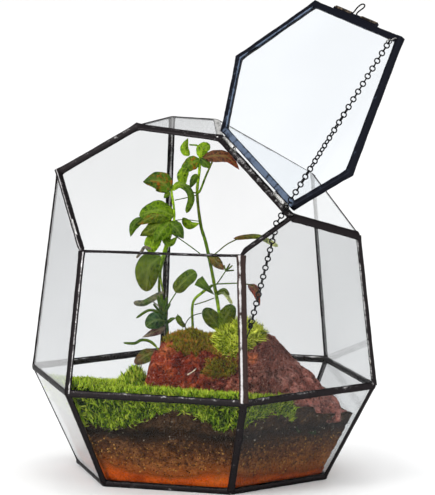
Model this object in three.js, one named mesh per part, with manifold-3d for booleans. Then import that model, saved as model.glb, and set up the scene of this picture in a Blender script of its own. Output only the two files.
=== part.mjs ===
// A glass plant terrarium: a faceted jar of flat panes joined by dark solder seams, with a hinged hexagonal lid
// that a chain holds open, and a small landscape of soil layers, moss, lava rock and vines inside it.
// Millimetres, +Z up. The pieces are drawn about the jar's own axis, with the table at height 0, and the whole is
// then moved along X so that the origin is under the middle of the object with its lid open.
import * as THREE from "three";
import { mergeVertices } from "three/addons/utils/BufferGeometryUtils.js";
import Module from "manifold-3d";

const wasm = await Module();
wasm.setup();

const { degToRad } = THREE.MathUtils;
const point = (x, y, z) => new THREE.Vector3(x, y, z);

// Jar body
const WAIST_RADIUS = 110;
const BASE_RADIUS = 80;
const WAIST_ABOVE_BASE = 58;
const WALL_LEAN = degToRad(6.2);
const SEAM_WIDTH = 4.2;
const GLASS = 2;
const GAP = 0.3;
const BASE_HEIGHT = SEAM_WIDTH / 2;
const WAIST_HEIGHT = BASE_HEIGHT + WAIST_ABOVE_BASE;
const PANE_INSET = 2.6;

// Roof planes: height above the base on the jar's axis, and slope along X and Y
const ROOF = {
  opening: { height: 184.2, slopeX: 0.03, slopeY: 0.462 },
  right: { height: 201.6, slopeX: -0.527, slopeY: 0.01 },
  back: { height: 195.1, slopeX: -0.03, slopeY: 0.19 },
};

// Lid, drawn closed and then turned open about its hinge
const LID_LIFT = 4.2;
const LID_INSET = 3.2;
const LID_FRAME_WIDTH = 4;
const LID_FRAME_THICKNESS = 3.4;
const LID_GROOVE = { depth: 1.7, width: 2.6 };
const LID_OPEN_ANGLE = degToRad(144);

// Hinges: a tube on the lid turns on a wire pin whose legs stand on the rim
const HINGE = { outset: 0.4, tubeRadius: 1.3, boreRadius: 0.75, pinRadius: 0.5, tubeLength: 14, legReach: 9.5 };
const HINGE_PLACES = { back: 0.14, front: 0.85 };

// Latch: a wire loop swings in two tubes on the lid's free edge
const LATCH = { tubeRadius: 1, boreRadius: 0.62, wireRadius: 0.38, centre: 0.45, mouth: 6.1, tubeLength: 18.4 };
const LATCH_LOOP = [[-9.5, 0], [-5.4, 0], [-4.6, 1.4], [-4.3, 5], [-2.6, 7.8], [0.4, 8.2], [1.6, 6.4], [-0.6, 2.6],
  [-0.4, 0.4], [2.4, 0], [9.5, 0]];
const CATCH = { start: 0.21, end: 0.4, standoff: 3.6, wireRadius: 0.45 };

// Chain, from an eye under the lid's corner, over the rim, to an anchor on the front right post
const EYE = { ringRadius: 1.6, wireRadius: 0.4 };
const CHAIN = { radius: 1, rimShare: 0.21, rimClearance: 0.7, steps: 40 };
const ANCHOR = { height: 104.8, foot: 93, fromPost: 9.2, fromPane: 3.2 };

// Layers in the jar, as heights of their tops above the table
const CLAY_TOP = 13;
const SOIL_TOP = 32;
const CHARCOAL_TOP = 38;
const MOSS = { height: 51.8, slopeY: -0.16 };
const LAYER_INSET = 2.75;

// Lava rock: stations along X, each with the height of its top and its half width along Y
const ROCK_CENTRE_Y = -2;
const ROCK_STATIONS = [
  { x: -39, top: 46, half: 9 },
  { x: -34, top: 70, half: 20 },
  { x: -26, top: 83, half: 28 },
  { x: -8, top: 87, half: 34 },
  { x: 10, top: 84, half: 36 },
  { x: 40, top: 84, half: 33 },
  { x: 53, top: 79, half: 29 },
  { x: 62, top: 68, half: 26 },
  { x: 76, top: 57, half: 20 },
  { x: 84, top: 50, half: 14 },
  { x: 91, top: 43, half: 7 },
];
const ROCK_SIDES = 12;
const MOUND = { centre: point(26, -2, 80), radii: point(23, 24, 15) };
const ROCK_MOSS = { centre: point(-11, -6, 80), radii: point(20, 26, 10.5) };

// The sides of the jar by the direction they face, and its corners, anticlockwise from the front
const SIDES = ["front", "front_right", "back_right", "back", "back_left", "front_left"];
const CORNERS = ["front_left", "front_right", "right", "back_right", "back_left", "left"];
const sideAzimuth = (k) => degToRad(60 * k - 90);
const cornerAzimuth = (k) => degToRad(60 * k - 120);

const FINISH = {
  glass: { color: 0xdfe9e6, roughness: 0.05, metalness: 0 },
  solder: { color: 0x2b2927, roughness: 0.45, metalness: 0.8 },
  wire: { color: 0x8d8a84, roughness: 0.35, metalness: 0.9 },
  chain: { color: 0x1c1b1b, roughness: 0.5, metalness: 0.8 },
  clay: { color: 0xb0571c, roughness: 0.95, metalness: 0 },
  soil: { color: 0x4a2f1b, roughness: 1, metalness: 0 },
  charcoal: { color: 0x1c1612, roughness: 1, metalness: 0 },
  moss: { color: 0x4f7d12, roughness: 1, metalness: 0 },
  rock: { color: 0x8a4029, roughness: 0.95, metalness: 0 },
  vine: { color: 0x54741f, roughness: 0.6, metalness: 0 },
};

const terrarium = new THREE.Group();

// A closed geometry as a solid, and back.
function solid(geometry) {
  const bare = new THREE.BufferGeometry();
  bare.setAttribute("position", geometry.getAttribute("position"));
  bare.setIndex(geometry.index);
  const merged = mergeVertices(bare, 1e-4);
  return new wasm.Manifold(
    new wasm.Mesh({
      numProp: 3,
      vertProperties: merged.attributes.position.array,
      triVerts: new Uint32Array(merged.index.array),
    }),
  );
}

function geometryOf(body) {
  const mesh = body.getMesh();
  const geometry = new THREE.BufferGeometry();
  geometry.setAttribute("position", new THREE.BufferAttribute(new Float32Array(mesh.vertProperties), 3));
  geometry.setIndex(new THREE.BufferAttribute(new Uint32Array(mesh.triVerts), 1));
  geometry.computeVertexNormals();
  return geometry;
}

const partWay = (from, to, share) => from.clone().lerp(to, share);
const offset = (place, direction, distance) => place.clone().addScaledVector(direction, distance);
const joined = (bodies) => bodies.reduce((all, body) => all.add(body));
const largest = (body) => body.decompose().reduce((a, b) => (b.volume() > a.volume() ? b : a));

function addPiece(name, body, finish, parent = terrarium) {
  const mesh = new THREE.Mesh(geometryOf(body), new THREE.MeshStandardMaterial(FINISH[finish]));
  mesh.name = name;
  parent.add(mesh);
}

// Planes and the corners where three of them meet
function planeThrough(normal, place) {
  return new THREE.Plane().setFromNormalAndCoplanarPoint(normal.normalize(), place);
}

function meet(p, q, r) {
  const across = new THREE.Vector3().crossVectors(q.normal, r.normal);
  const det = p.normal.dot(across);
  return across
    .multiplyScalar(-p.constant)
    .addScaledVector(new THREE.Vector3().crossVectors(r.normal, p.normal), -q.constant)
    .addScaledVector(new THREE.Vector3().crossVectors(p.normal, q.normal), -r.constant)
    .divideScalar(det);
}

const ringPoint = (radius, azimuth, height) => point(radius * Math.cos(azimuth), radius * Math.sin(azimuth), height);
const EDGE_SHARE = Math.cos(Math.PI / 6);
const FLARE = Math.atan(((WAIST_RADIUS - BASE_RADIUS) * EDGE_SHARE) / WAIST_ABOVE_BASE);

const wallPlanes = SIDES.map((_, k) => {
  const a = sideAzimuth(k);
  const normal = point(Math.cos(a) * Math.cos(WALL_LEAN), Math.sin(a) * Math.cos(WALL_LEAN), Math.sin(WALL_LEAN));
  return planeThrough(normal, ringPoint(WAIST_RADIUS * EDGE_SHARE, a, WAIST_HEIGHT));
});
const lowerPlanes = SIDES.map((_, k) => {
  const a = sideAzimuth(k);
  const normal = point(Math.cos(a) * Math.cos(FLARE), Math.sin(a) * Math.cos(FLARE), -Math.sin(FLARE));
  return planeThrough(normal, ringPoint(WAIST_RADIUS * EDGE_SHARE, a, WAIST_HEIGHT));
});
const roofPlane = ({ height, slopeX, slopeY }) =>
  planeThrough(point(-slopeX, -slopeY, 1), point(0, 0, BASE_HEIGHT + height));
const openingPlane = roofPlane(ROOF.opening);
const rightPlane = roofPlane(ROOF.right);
const backPlane = roofPlane(ROOF.back);

const base = CORNERS.map((_, k) => ringPoint(BASE_RADIUS, cornerAzimuth(k), BASE_HEIGHT));
const waist = CORNERS.map((_, k) => ringPoint(WAIST_RADIUS, cornerAzimuth(k), WAIST_HEIGHT));
const topPlanes = [openingPlane, openingPlane, rightPlane, rightPlane, backPlane, openingPlane];
const tops = topPlanes.map((roof, k) => meet(roof, wallPlanes[(k + 5) % 6], wallPlanes[k]));
const rimRight = meet(openingPlane, rightPlane, wallPlanes[1]);
const rimBack = meet(openingPlane, backPlane, wallPlanes[4]);
const apex = meet(openingPlane, rightPlane, backPlane);
const ridgeEnd = meet(rightPlane, backPlane, wallPlanes[3]);
const openingOutline = [tops[0], tops[1], rimRight, apex, rimBack, tops[5]];

// A flat polygon drawn inside its outline by an inset, with a thickness centred on the plane or shifted off it.
function flatBasis(corners) {
  const along = corners[1].clone().sub(corners[0]).normalize();
  const normal = new THREE.Vector3();
  corners.forEach((c, i) => normal.add(new THREE.Vector3().crossVectors(c, corners[(i + 1) % corners.length])));
  normal.normalize();
  return new THREE.Matrix4()
    .makeBasis(along, new THREE.Vector3().crossVectors(normal, along), normal)
    .setPosition(corners[0]);
}

function insetOutline(outline, inset) {
  return outline.map((here, i) => {
    const before = here.clone().sub(outline.at(i - 1)).normalize();
    const after = outline[(i + 1) % outline.length].clone().sub(here).normalize();
    const inward = new THREE.Vector2(-before.y - after.y, before.x + after.x);
    return inward.multiplyScalar(inset / (1 + before.dot(after))).add(here);
  });
}

function plate(corners, inset, thickness, shift = 0) {
  const basis = flatBasis(corners);
  const flat = corners.map((c) => c.clone().applyMatrix4(basis.clone().invert()));
  const outline = insetOutline(flat.map((c) => new THREE.Vector2(c.x, c.y)), inset);
  const geometry = new THREE.ExtrudeGeometry(new THREE.Shape(outline), { depth: thickness, bevelEnabled: false });
  geometry.translate(0, 0, shift - thickness / 2);
  return solid(geometry.applyMatrix4(basis));
}

// A skin over a row of sections, each an equal ring of points that runs anticlockwise about the way ahead.
function loft(sections, closed) {
  const size = sections[0].length;
  const faces = [];
  const spans = closed ? sections.length : sections.length - 1;
  for (let i = 0; i < spans; i += 1) {
    const here = i * size;
    const ahead = ((i + 1) % sections.length) * size;
    for (let s = 0; s < size; s += 1) {
      const t = (s + 1) % size;
      faces.push(here + s, here + t, ahead + t, here + s, ahead + t, ahead + s);
    }
  }
  const last = spans * size;
  for (let s = 1; !closed && s + 1 < size; s += 1) {
    faces.push(0, s + 1, s, last, last + s, last + s + 1);
  }
  const geometry = new THREE.BufferGeometry().setFromPoints(sections.flat());
  geometry.setIndex(faces);
  return solid(geometry);
}

// A bar along a run of corners: an octagonal section carried from corner to corner and mitred at each.
// Two of its flats face outward and inward on the first bar.
function mitredBar(corners, outward, closed, radius) {
  const ways = corners.map((c, i) => corners[(i + 1) % corners.length].clone().sub(c).normalize());
  const end = corners.length - 1;
  const mitres = ways.map((way, i) => {
    if (closed || (i > 0 && i < end)) {
      return way.clone().add(ways.at(i - 1));
    }
    return i === 0 ? way : ways[end - 1];
  });
  const carry = (p, way, i) => offset(p, way, corners[i].clone().sub(p).dot(mitres[i]) / way.dot(mitres[i]));
  const side = new THREE.Vector3().crossVectors(outward, ways[0]).normalize();
  const top = new THREE.Vector3().crossVectors(ways[0], side);
  const sections = [
    Array.from({ length: 8 }, (_, s) => {
      const a = (Math.PI / 4) * (s + 0.5);
      const p = offset(offset(corners[0], side, radius * Math.cos(a)), top, radius * Math.sin(a));
      return carry(p, ways[0], 0);
    }),
  ];
  for (let i = 1; i < corners.length; i += 1) {
    sections.push(sections[i - 1].map((p) => carry(p, ways[i - 1], i)));
  }
  return loft(sections, closed);
}

const between = (p, q) => p.normal.clone().add(q.normal).normalize();
const down = point(0, 0, -1);

// Adds a bead, cut clear of the beads it meets, and returns the hollow that it needs in the next ones.
function addBead(name, corners, outward, closed, cuts = []) {
  const radius = SEAM_WIDTH / 2 / Math.cos(Math.PI / 8);
  const bead = mitredBar(corners, outward, closed, radius);
  addPiece(name, largest(cuts.reduce((body, cut) => body.subtract(cut), bead)), "solder");
  return mitredBar(corners, outward, closed, radius + GAP);
}

// Panes of the jar
function addPanes() {
  addPiece("base_pane", plate(base, PANE_INSET, GLASS), "glass");
  SIDES.forEach((side, k) => {
    const next = (k + 1) % 6;
    addPiece(`lower_pane_${side}`, plate([base[k], base[next], waist[next], waist[k]], PANE_INSET, GLASS), "glass");
  });
  const tall = {
    front: [waist[0], waist[1], tops[1], tops[0]],
    front_right: [waist[1], waist[2], tops[2], rimRight, tops[1]],
    back_right: [waist[2], waist[3], tops[3], tops[2]],
    back: [waist[3], waist[4], tops[4], ridgeEnd, tops[3]],
    back_left: [waist[4], waist[5], tops[5], rimBack, tops[4]],
    front_left: [waist[5], waist[0], tops[0], tops[5]],
  };
  SIDES.forEach((side) => addPiece(`wall_pane_${side}`, plate(tall[side], PANE_INSET, GLASS), "glass"));
  addPiece("roof_pane_right", plate([apex, rimRight, tops[2], tops[3], ridgeEnd], PANE_INSET, GLASS), "glass");
  addPiece("roof_pane_back", plate([apex, ridgeEnd, tops[4], rimBack], PANE_INSET, GLASS), "glass");
}

// Seams of the jar: three rings, the band under the roof, the ridge, and a bead at each corner
function addSeams() {
  const baseCut = addBead("base_ring", base, down, true);
  const waistCut = addBead("waist_ring", waist, point(0, 0, 1), true);
  const rimCut = addBead("opening_rim", openingOutline, openingPlane.normal, true);
  const shoulder = [rimRight, tops[2], tops[3], ridgeEnd, tops[4], rimBack];
  const shoulderCut = addBead("shoulder_band", shoulder, between(rightPlane, wallPlanes[1]), false, [rimCut]);
  addBead("roof_ridge", [ridgeEnd, apex], between(rightPlane, backPlane), false, [rimCut, shoulderCut]);
  CORNERS.forEach((corner, k) => {
    const before = (k + 5) % 6;
    const postFaces = between(wallPlanes[before], wallPlanes[k]);
    const lowerFaces = between(lowerPlanes[before], lowerPlanes[k]);
    addBead(`corner_post_${corner}`, [waist[k], tops[k]], postFaces, false, [waistCut, rimCut, shoulderCut]);
    addBead(`lower_seam_${corner}`, [base[k], waist[k]], lowerFaces, false, [baseCut, waistCut]);
  });
}

// Round wire and tubes
function rod(from, to, radius, sides = 8) {
  const along = to.clone().sub(from);
  const geometry = new THREE.CylinderGeometry(radius, radius, along.length(), sides);
  const turn = new THREE.Quaternion().setFromUnitVectors(point(0, 1, 0), along.clone().normalize());
  geometry.applyQuaternion(turn);
  const middle = from.clone().add(to).multiplyScalar(0.5);
  return solid(geometry.translate(middle.x, middle.y, middle.z));
}

function bentWire(points, radius, steps, sides = 8) {
  const section = new THREE.Shape(
    Array.from({ length: sides }, (_, i) => {
      const a = (2 * Math.PI * i) / sides;
      return new THREE.Vector2(radius * Math.cos(a), radius * Math.sin(a));
    }),
  );
  const path = new THREE.CatmullRomCurve3(points, false, "centripetal");
  return solid(new THREE.ExtrudeGeometry(section, { steps, bevelEnabled: false, extrudePath: path }));
}

// A wire handle: two legs with a straight top between their knees.
function staple(feet, knees, radius) {
  return mitredBar([feet[0], ...knees, feet[1]], knees[1].clone().sub(knees[0]), false, radius);
}

function tubeWithBore(from, to, radius, bore) {
  const reach = to.clone().sub(from).multiplyScalar(0.1);
  return rod(from, to, radius, 12).subtract(rod(from.clone().sub(reach), to.clone().add(reach), bore, 12));
}

// Lid. Its group turns about the hinge line, which lies over the opening's back right edge.
const up = openingPlane.normal;
const hingeAlong = rimRight.clone().sub(apex).normalize();
const hingeOut = new THREE.Vector3().crossVectors(up, hingeAlong);
const hingeStart = offset(offset(apex, up, LID_LIFT), hingeOut, HINGE.outset);
const lidTurn = new THREE.Matrix4()
  .makeTranslation(hingeStart)
  .multiply(new THREE.Matrix4().makeRotationAxis(hingeAlong, -LID_OPEN_ANGLE))
  .multiply(new THREE.Matrix4().makeTranslation(hingeStart.clone().negate()));

function addLidPanel(lid) {
  const frameOuter = LID_INSET - LID_FRAME_WIDTH / 2;
  const frameInner = LID_INSET + LID_FRAME_WIDTH / 2;
  const grooveFloor = frameInner - LID_GROOVE.depth;
  const frame = plate(openingOutline, frameOuter, LID_FRAME_THICKNESS, LID_LIFT)
    .subtract(plate(openingOutline, frameInner, LID_FRAME_THICKNESS + 1, LID_LIFT))
    .subtract(plate(openingOutline, grooveFloor, LID_GROOVE.width, LID_LIFT));
  addPiece("lid_frame", frame, "solder", lid);
  addPiece("lid_pane", plate(openingOutline, grooveFloor + GAP, GLASS, LID_LIFT), "glass", lid);
}

function addHinge(name, share, lid) {
  const centre = partWay(apex, rimRight, share);
  const axisCentre = offset(offset(centre, up, LID_LIFT), hingeOut, HINGE.outset);
  const ends = [-1, 1].map((way) => offset(axisCentre, hingeAlong, (way * HINGE.tubeLength) / 2));
  addPiece(`hinge_tube_${name}`, tubeWithBore(...ends, HINGE.tubeRadius, HINGE.boreRadius), "wire", lid);

  const towardRim = centre.clone().sub(axisCentre).normalize();
  const legLength = centre.distanceTo(axisCentre) - SEAM_WIDTH / 2 - GAP;
  const knees = [-1, 1].map((way) => offset(axisCentre, hingeAlong, way * HINGE.legReach));
  const feet = knees.map((knee) => offset(knee, towardRim, legLength));
  addPiece(`hinge_pin_${name}`, staple(feet, knees, HINGE.pinRadius), "wire");
}

// Latch on the lid's free edge, over the front left side of the rim, and the wire catch on that rim
const latchAlong = tops[0].clone().sub(tops[5]).normalize();
const latchOut = new THREE.Vector3().crossVectors(latchAlong, up).normalize();

function latchPoint(along, out) {
  const edgeMiddle = offset(partWay(tops[5], tops[0], LATCH.centre), up, LID_LIFT);
  const axisOut = -(LID_INSET - LID_FRAME_WIDTH / 2) + GAP + LATCH.tubeRadius;
  return offset(offset(edgeMiddle, latchAlong, along), latchOut, axisOut + out);
}

function addLatch(lid) {
  for (const [name, way] of [["left", -1], ["right", 1]]) {
    const ends = [LATCH.mouth, LATCH.mouth + LATCH.tubeLength].map((reach) => latchPoint(way * reach, 0));
    addPiece(`latch_tube_${name}`, tubeWithBore(...ends, LATCH.tubeRadius, LATCH.boreRadius), "solder", lid);
  }
  const loop = bentWire(LATCH_LOOP.map(([along, out]) => latchPoint(along, out)), LATCH.wireRadius, 36, 6);
  addPiece("latch_loop", loop, "wire", lid);

  const standoff = up.clone().add(latchOut).normalize();
  const feet = [CATCH.start, CATCH.end].map((share) => partWay(tops[0], tops[5], share));
  const knees = feet.map((foot) => offset(foot, standoff, CATCH.standoff));
  const legFeet = feet.map((foot) => offset(foot, standoff, SEAM_WIDTH / 2 + GAP));
  addPiece("rim_catch", staple(legFeet, knees, CATCH.wireRadius), "wire");
}

// Chain eye under the lid's corner, anchor on the front right post, and the chain between them
const lidCorner = (() => {
  const toLeft = tops[5].clone().sub(tops[0]).normalize();
  const toRight = tops[1].clone().sub(tops[0]).normalize();
  const inward = toLeft.clone().add(toRight).normalize();
  const half = toLeft.angleTo(toRight) / 2;
  return { inward, place: offset(offset(tops[0], up, LID_LIFT), inward, LID_INSET / Math.sin(half)) };
})();
const eyeCentre = offset(offset(lidCorner.place, lidCorner.inward, 5.8), up, -3.6);

function addEye(lid) {
  const ring = new THREE.TorusGeometry(EYE.ringRadius, EYE.wireRadius, 6, 14);
  const basis = new THREE.Matrix4()
    .makeBasis(lidCorner.inward, up, new THREE.Vector3().crossVectors(lidCorner.inward, up))
    .setPosition(eyeCentre);
  const stem = bentWire(
    [
      offset(offset(lidCorner.place, lidCorner.inward, 1), up, -LID_FRAME_THICKNESS / 2 - GAP),
      offset(offset(lidCorner.place, lidCorner.inward, 1.6), up, -3.2),
      offset(eyeCentre, lidCorner.inward, -EYE.ringRadius),
    ],
    EYE.wireRadius,
    8,
  );
  addPiece("chain_eye", joined([solid(ring.applyMatrix4(basis)), stem]), "wire", lid);
}

const paneAlong = waist[2].clone().sub(waist[1]).normalize();
const paneInward = wallPlanes[1].normal.clone().negate();
const postAt = (height) => partWay(waist[1], tops[1], (height - WAIST_HEIGHT) / (tops[1].z - WAIST_HEIGHT));
const anchorCentre = offset(offset(postAt(ANCHOR.height), paneAlong, ANCHOR.fromPost), paneInward, ANCHOR.fromPane);

function addAnchor() {
  const ring = new THREE.TorusGeometry(EYE.ringRadius, EYE.wireRadius, 6, 14);
  const basis = new THREE.Matrix4()
    .makeBasis(paneAlong, point(0, 0, 1), new THREE.Vector3().crossVectors(paneAlong, point(0, 0, 1)))
    .setPosition(anchorCentre);
  const foot = offset(offset(postAt(ANCHOR.foot), paneAlong, 2.1), paneInward, 2.1);
  const knee = offset(offset(postAt(ANCHOR.foot + 3), paneAlong, 4.5), paneInward, 3);
  const wire = bentWire([foot, knee, offset(anchorCentre, point(0, 0, -1), EYE.ringRadius)], EYE.wireRadius, 10);
  addPiece("chain_anchor", joined([solid(ring.applyMatrix4(basis)), wire]), "wire");
}

function addChain() {
  const lidEnd = eyeCentre.clone().applyMatrix4(lidTurn);
  const rimCentre = partWay(rimRight, tops[1], CHAIN.rimShare);
  const toLid = lidEnd.clone().sub(rimCentre).normalize();
  const toAnchor = anchorCentre.clone().sub(rimCentre).normalize();
  const rimAlong = tops[1].clone().sub(rimRight).normalize();
  const across = [toLid, toAnchor].map((way) => way.clone().projectOnPlane(rimAlong).normalize());
  const pull = across[0].add(across[1]).normalize();
  const bendPlace = offset(rimCentre, pull, -(SEAM_WIDTH / 2 + CHAIN.radius + CHAIN.rimClearance));
  const ringReach = EYE.ringRadius + EYE.wireRadius + GAP;
  const start = offset(lidEnd, toLid, -ringReach);
  const end = offset(anchorCentre, toAnchor, -ringReach);
  const aboveRim = offset(bendPlace, toLid, 5);
  const belowRim = offset(bendPlace, toAnchor, 5);
  const route = [start, partWay(start, aboveRim, 0.5), aboveRim, bendPlace, belowRim, end];
  addPiece("chain", bentWire(route, CHAIN.radius, CHAIN.steps), "chain");
}

// Ground layers: the jar's inside, cut into slabs
function trimmed(body, plane, clearance = 0) {
  const { x, y, z } = plane.normal;
  return body.trimByPlane([-x, -y, -z], plane.constant + clearance);
}

const jarInside = [...wallPlanes, ...lowerPlanes].reduce(
  (body, plane) => trimmed(body, plane, LAYER_INSET),
  solid(new THREE.BoxGeometry(3 * WAIST_RADIUS, 3 * WAIST_RADIUS, 4 * WAIST_RADIUS)),
);
const level = (height) => planeThrough(point(0, 0, 1), point(0, 0, height));
const mossPlane = planeThrough(point(0, -MOSS.slopeY, 1), point(0, 0, MOSS.height));

function layer(bottom, topPlane) {
  const floor = planeThrough(point(0, 0, -1), point(0, 0, bottom));
  return trimmed(trimmed(jarInside, floor), topPlane);
}

// Rock: domed sections along X. Growing it makes the hollow that it sits in.
function rockBody(grow = 0) {
  const bottom = CHARCOAL_TOP + GAP - grow;
  const sections = ROCK_STATIONS.map(({ x, top, half }, i) => {
    const end = i === 0 ? -grow : i === ROCK_STATIONS.length - 1 ? grow : 0;
    return Array.from({ length: ROCK_SIDES }, (_, s) => {
      const a = (Math.PI * s) / (ROCK_SIDES - 1);
      const y = ROCK_CENTRE_Y + (half + grow) * Math.cos(a);
      return point(x + end, y, bottom + (top + grow - bottom) * Math.sin(a) ** 0.7);
    });
  });
  return loft(sections, false);
}

function egg({ centre, radii }, grow = 0) {
  const geometry = new THREE.SphereGeometry(1, 16, 10);
  geometry.scale(radii.x + grow, radii.y + grow, radii.z + grow);
  return solid(geometry.translate(centre.x, centre.y, centre.z));
}

function addGround() {
  addPiece("clay_layer", layer(BASE_HEIGHT + GLASS / 2 + GAP, level(CLAY_TOP)), "clay");
  addPiece("soil_layer", layer(CLAY_TOP + GAP, level(SOIL_TOP)), "soil");
  addPiece("charcoal_layer", layer(SOIL_TOP + GAP, level(CHARCOAL_TOP)), "charcoal");
  addPiece("moss_carpet", largest(layer(CHARCOAL_TOP + GAP, mossPlane).subtract(rockBody(GAP))), "moss");
  addPiece("lava_rock", rockBody(), "rock");
  addPiece("moss_mound", largest(egg(MOUND).subtract(rockBody(GAP))), "moss");
  addPiece("rock_moss", largest(egg(ROCK_MOSS).subtract(rockBody(GAP)).subtract(egg(MOUND, GAP))), "moss");
}

// Plants. Each is one grown piece: stems and stalks given by points along them, and leaves given by the points
// of their roots and tips, with a width.
const STEM_RADIUS = 0.9;
const LEAF_THICKNESS = 1;
const LEAF_FACE = point(0.3, -1, 0.4);

const TALL_VINE = {
  stems: [
    [[6, 18, 68], [6, 18, 94], [1, 21, 117], [-6, 27, 139], [-11, 31, 151], [-15, 36, 170], [-15, 40, 183],
      [-15, 41, 192]],
    [[-14, 35, 168], [-11, 37, 181], [-5, 38, 190]],
    [[-15, 40, 184], [-19, 41, 191], [-24, 41, 194]],
    [[-3, 24, 130], [8, 16, 138], [20, 8, 146], [28, 4, 148]],
    [[2, 20, 115], [11, 12, 125], [15, 9, 127]],
    [[2, 20, 115], [19, 8, 119], [30, -2, 119]],
  ],
  leaves: [
    { root: [-15, 40, 191], tip: [10, 38, 187], width: 11 },
    { root: [-24, 41, 194], tip: [-25, 41, 202], width: 7 },
    { root: [-15, 41, 190], tip: [-9, 41, 198], width: 7 },
    { root: [-15, 40, 184], tip: [-26, 39, 188], width: 9 },
    { root: [-15, 38, 178], tip: [-27, 38, 178], width: 8 },
    { root: [-11, 31, 151], tip: [-22, 30, 153], width: 6 },
    { root: [20, 8, 146], tip: [50, -8, 144], width: 5 },
    { root: [-3, 24, 130], tip: [9, 16, 126], width: 8 },
    { root: [15, 9, 126], tip: [18, 6, 131], width: 5 },
    { root: [30, -2, 119], tip: [39, -8, 109], width: 7 },
    { root: [3, 20, 112], tip: [17, 9, 108], width: 4 },
  ],
};
const LEFT_VINE = {
  stems: [
    [[-24, 6, 64], [-24, 6, 85], [-27, 8, 99], [-31, 10, 110], [-31, 12, 123], [-27, 14, 140], [-24, 17, 156],
      [-27, 20, 173]],
    [[-25, 15, 148], [-20, 14, 143], [-8, 20, 135]],
  ],
  leaves: [
    { root: [-27, 20, 172], tip: [-43, 16, 179], width: 12 },
    { root: [-27, 20, 172], tip: [-16, 22, 162], width: 7 },
    { root: [-24, 17, 157], tip: [-44, 12, 160], width: 13 },
    { root: [-25, 16, 150], tip: [-48, 9, 147], width: 11 },
    { root: [-26, 15, 146], tip: [-17, 11, 141], width: 9 },
    { root: [-27, 14, 140], tip: [-39, 12, 135], width: 9 },
    { root: [-31, 12, 128], tip: [-39, 8, 111], width: 13 },
  ],
};
const MIDDLE_SPRIG = {
  stems: [[[-8, 10, 66], [-8, 10, 86], [-9, 10, 103], [-4, 12, 111], [0, 15, 114]]],
  leaves: [{ root: [-3, 12, 111], tip: [-5, 10, 119], width: 7 }],
};
const LOW_SPRIG = {
  stems: [
    [[-23, 2, 66], [-23, 2, 87], [-25, 2, 97], [-26, 3, 106]],
    [[-25, 2, 97], [-23, 4, 103], [-19, 8, 111]],
    [[-25, 2, 97], [-35, -4, 99], [-39, -8, 96]],
  ],
  leaves: [
    { root: [-19, 8, 111], tip: [-8, 12, 123], width: 7 },
    { root: [-26, 3, 105], tip: [-42, -2, 104], width: 4 },
    { root: [-24, 2, 93], tip: [-33, -6, 92], width: 10 },
    { root: [-23, 2, 88], tip: [-35, -6, 84], width: 6 },
  ],
};
const MOUND_SPRIG = {
  stems: [[[14, -5, 80], [14, -6, 90], [15, -8, 98]]],
  leaves: [
    { root: [15, -8, 97], tip: [6, -12, 102], width: 8 },
    { root: [15, -8, 97], tip: [25, -12, 107], width: 8 },
  ],
};
const GROUND_SPRIG = {
  stems: [[[-26, -11, 70], [-28, -12, 79], [-35, -14, 83], [-44, -18, 81]]],
  leaves: [{ root: [-27, -12, 76], tip: [-37, -21, 71], width: 8 }],
};

function leafBlade({ root, tip, width }) {
  const way = point(...tip).sub(point(...root));
  const length = way.length();
  const outline = new THREE.Shape()
    .moveTo(0, 0)
    .bezierCurveTo(length * 0.1, -width * 0.75, length * 0.75, -width * 0.55, length, 0)
    .bezierCurveTo(length * 0.75, width * 0.55, length * 0.1, width * 0.75, 0, 0);
  const geometry = new THREE.ExtrudeGeometry(outline, {
    depth: LEAF_THICKNESS,
    bevelEnabled: false,
    curveSegments: 5,
  });
  way.normalize();
  const side = new THREE.Vector3().crossVectors(LEAF_FACE, way).normalize();
  const basis = new THREE.Matrix4().makeBasis(way, side, new THREE.Vector3().crossVectors(way, side));
  geometry.translate(0, 0, -LEAF_THICKNESS / 2);
  return solid(geometry.applyMatrix4(basis.setPosition(point(...root))));
}

function plant({ stems, leaves }) {
  const grown = stems.map((stem) => {
    const run = stem.map((p) => point(...p));
    return bentWire(run, STEM_RADIUS, 3 * (run.length - 1), 6);
  });
  return joined([...grown, ...leaves.map(leafBlade)]);
}

function addPlants() {
  const plants = {
    tall_vine: TALL_VINE,
    left_vine: LEFT_VINE,
    middle_sprig: MIDDLE_SPRIG,
    low_sprig: LOW_SPRIG,
    mound_sprig: MOUND_SPRIG,
    ground_sprig: GROUND_SPRIG,
  };
  const ground = joined([rockBody(GAP), egg(MOUND, GAP), egg(ROCK_MOSS, GAP), layer(BASE_HEIGHT, mossPlane)]);
  for (const [name, growth] of Object.entries(plants)) {
    addPiece(name, largest(plant(growth).subtract(ground)), "vine");
  }
}

addPanes();
addSeams();
const lid = new THREE.Group();
lid.applyMatrix4(lidTurn);
terrarium.add(lid);
addLidPanel(lid);
for (const [name, share] of Object.entries(HINGE_PLACES)) {
  addHinge(name, share, lid);
}
addLatch(lid);
addEye(lid);
addAnchor();
addChain();
addGround();
addPlants();

const extent = new THREE.Box3().setFromObject(terrarium, true);
terrarium.position.x = -(extent.min.x + extent.max.x) / 2;

export default terrarium;
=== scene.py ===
"""The looks of the glass plant terrarium.

It is a faceted jar with soldered seams, a hinged lid on a chain, and a planting of earth, moss, a rock
and vines. Its points are in millimetres about the jar's own axis until add_mesh turns them into metres in
the row frame.
"""

import math
from bisect import bisect_right

import bpy
import numpy as np
from mathutils import Matrix, Vector, noise


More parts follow.
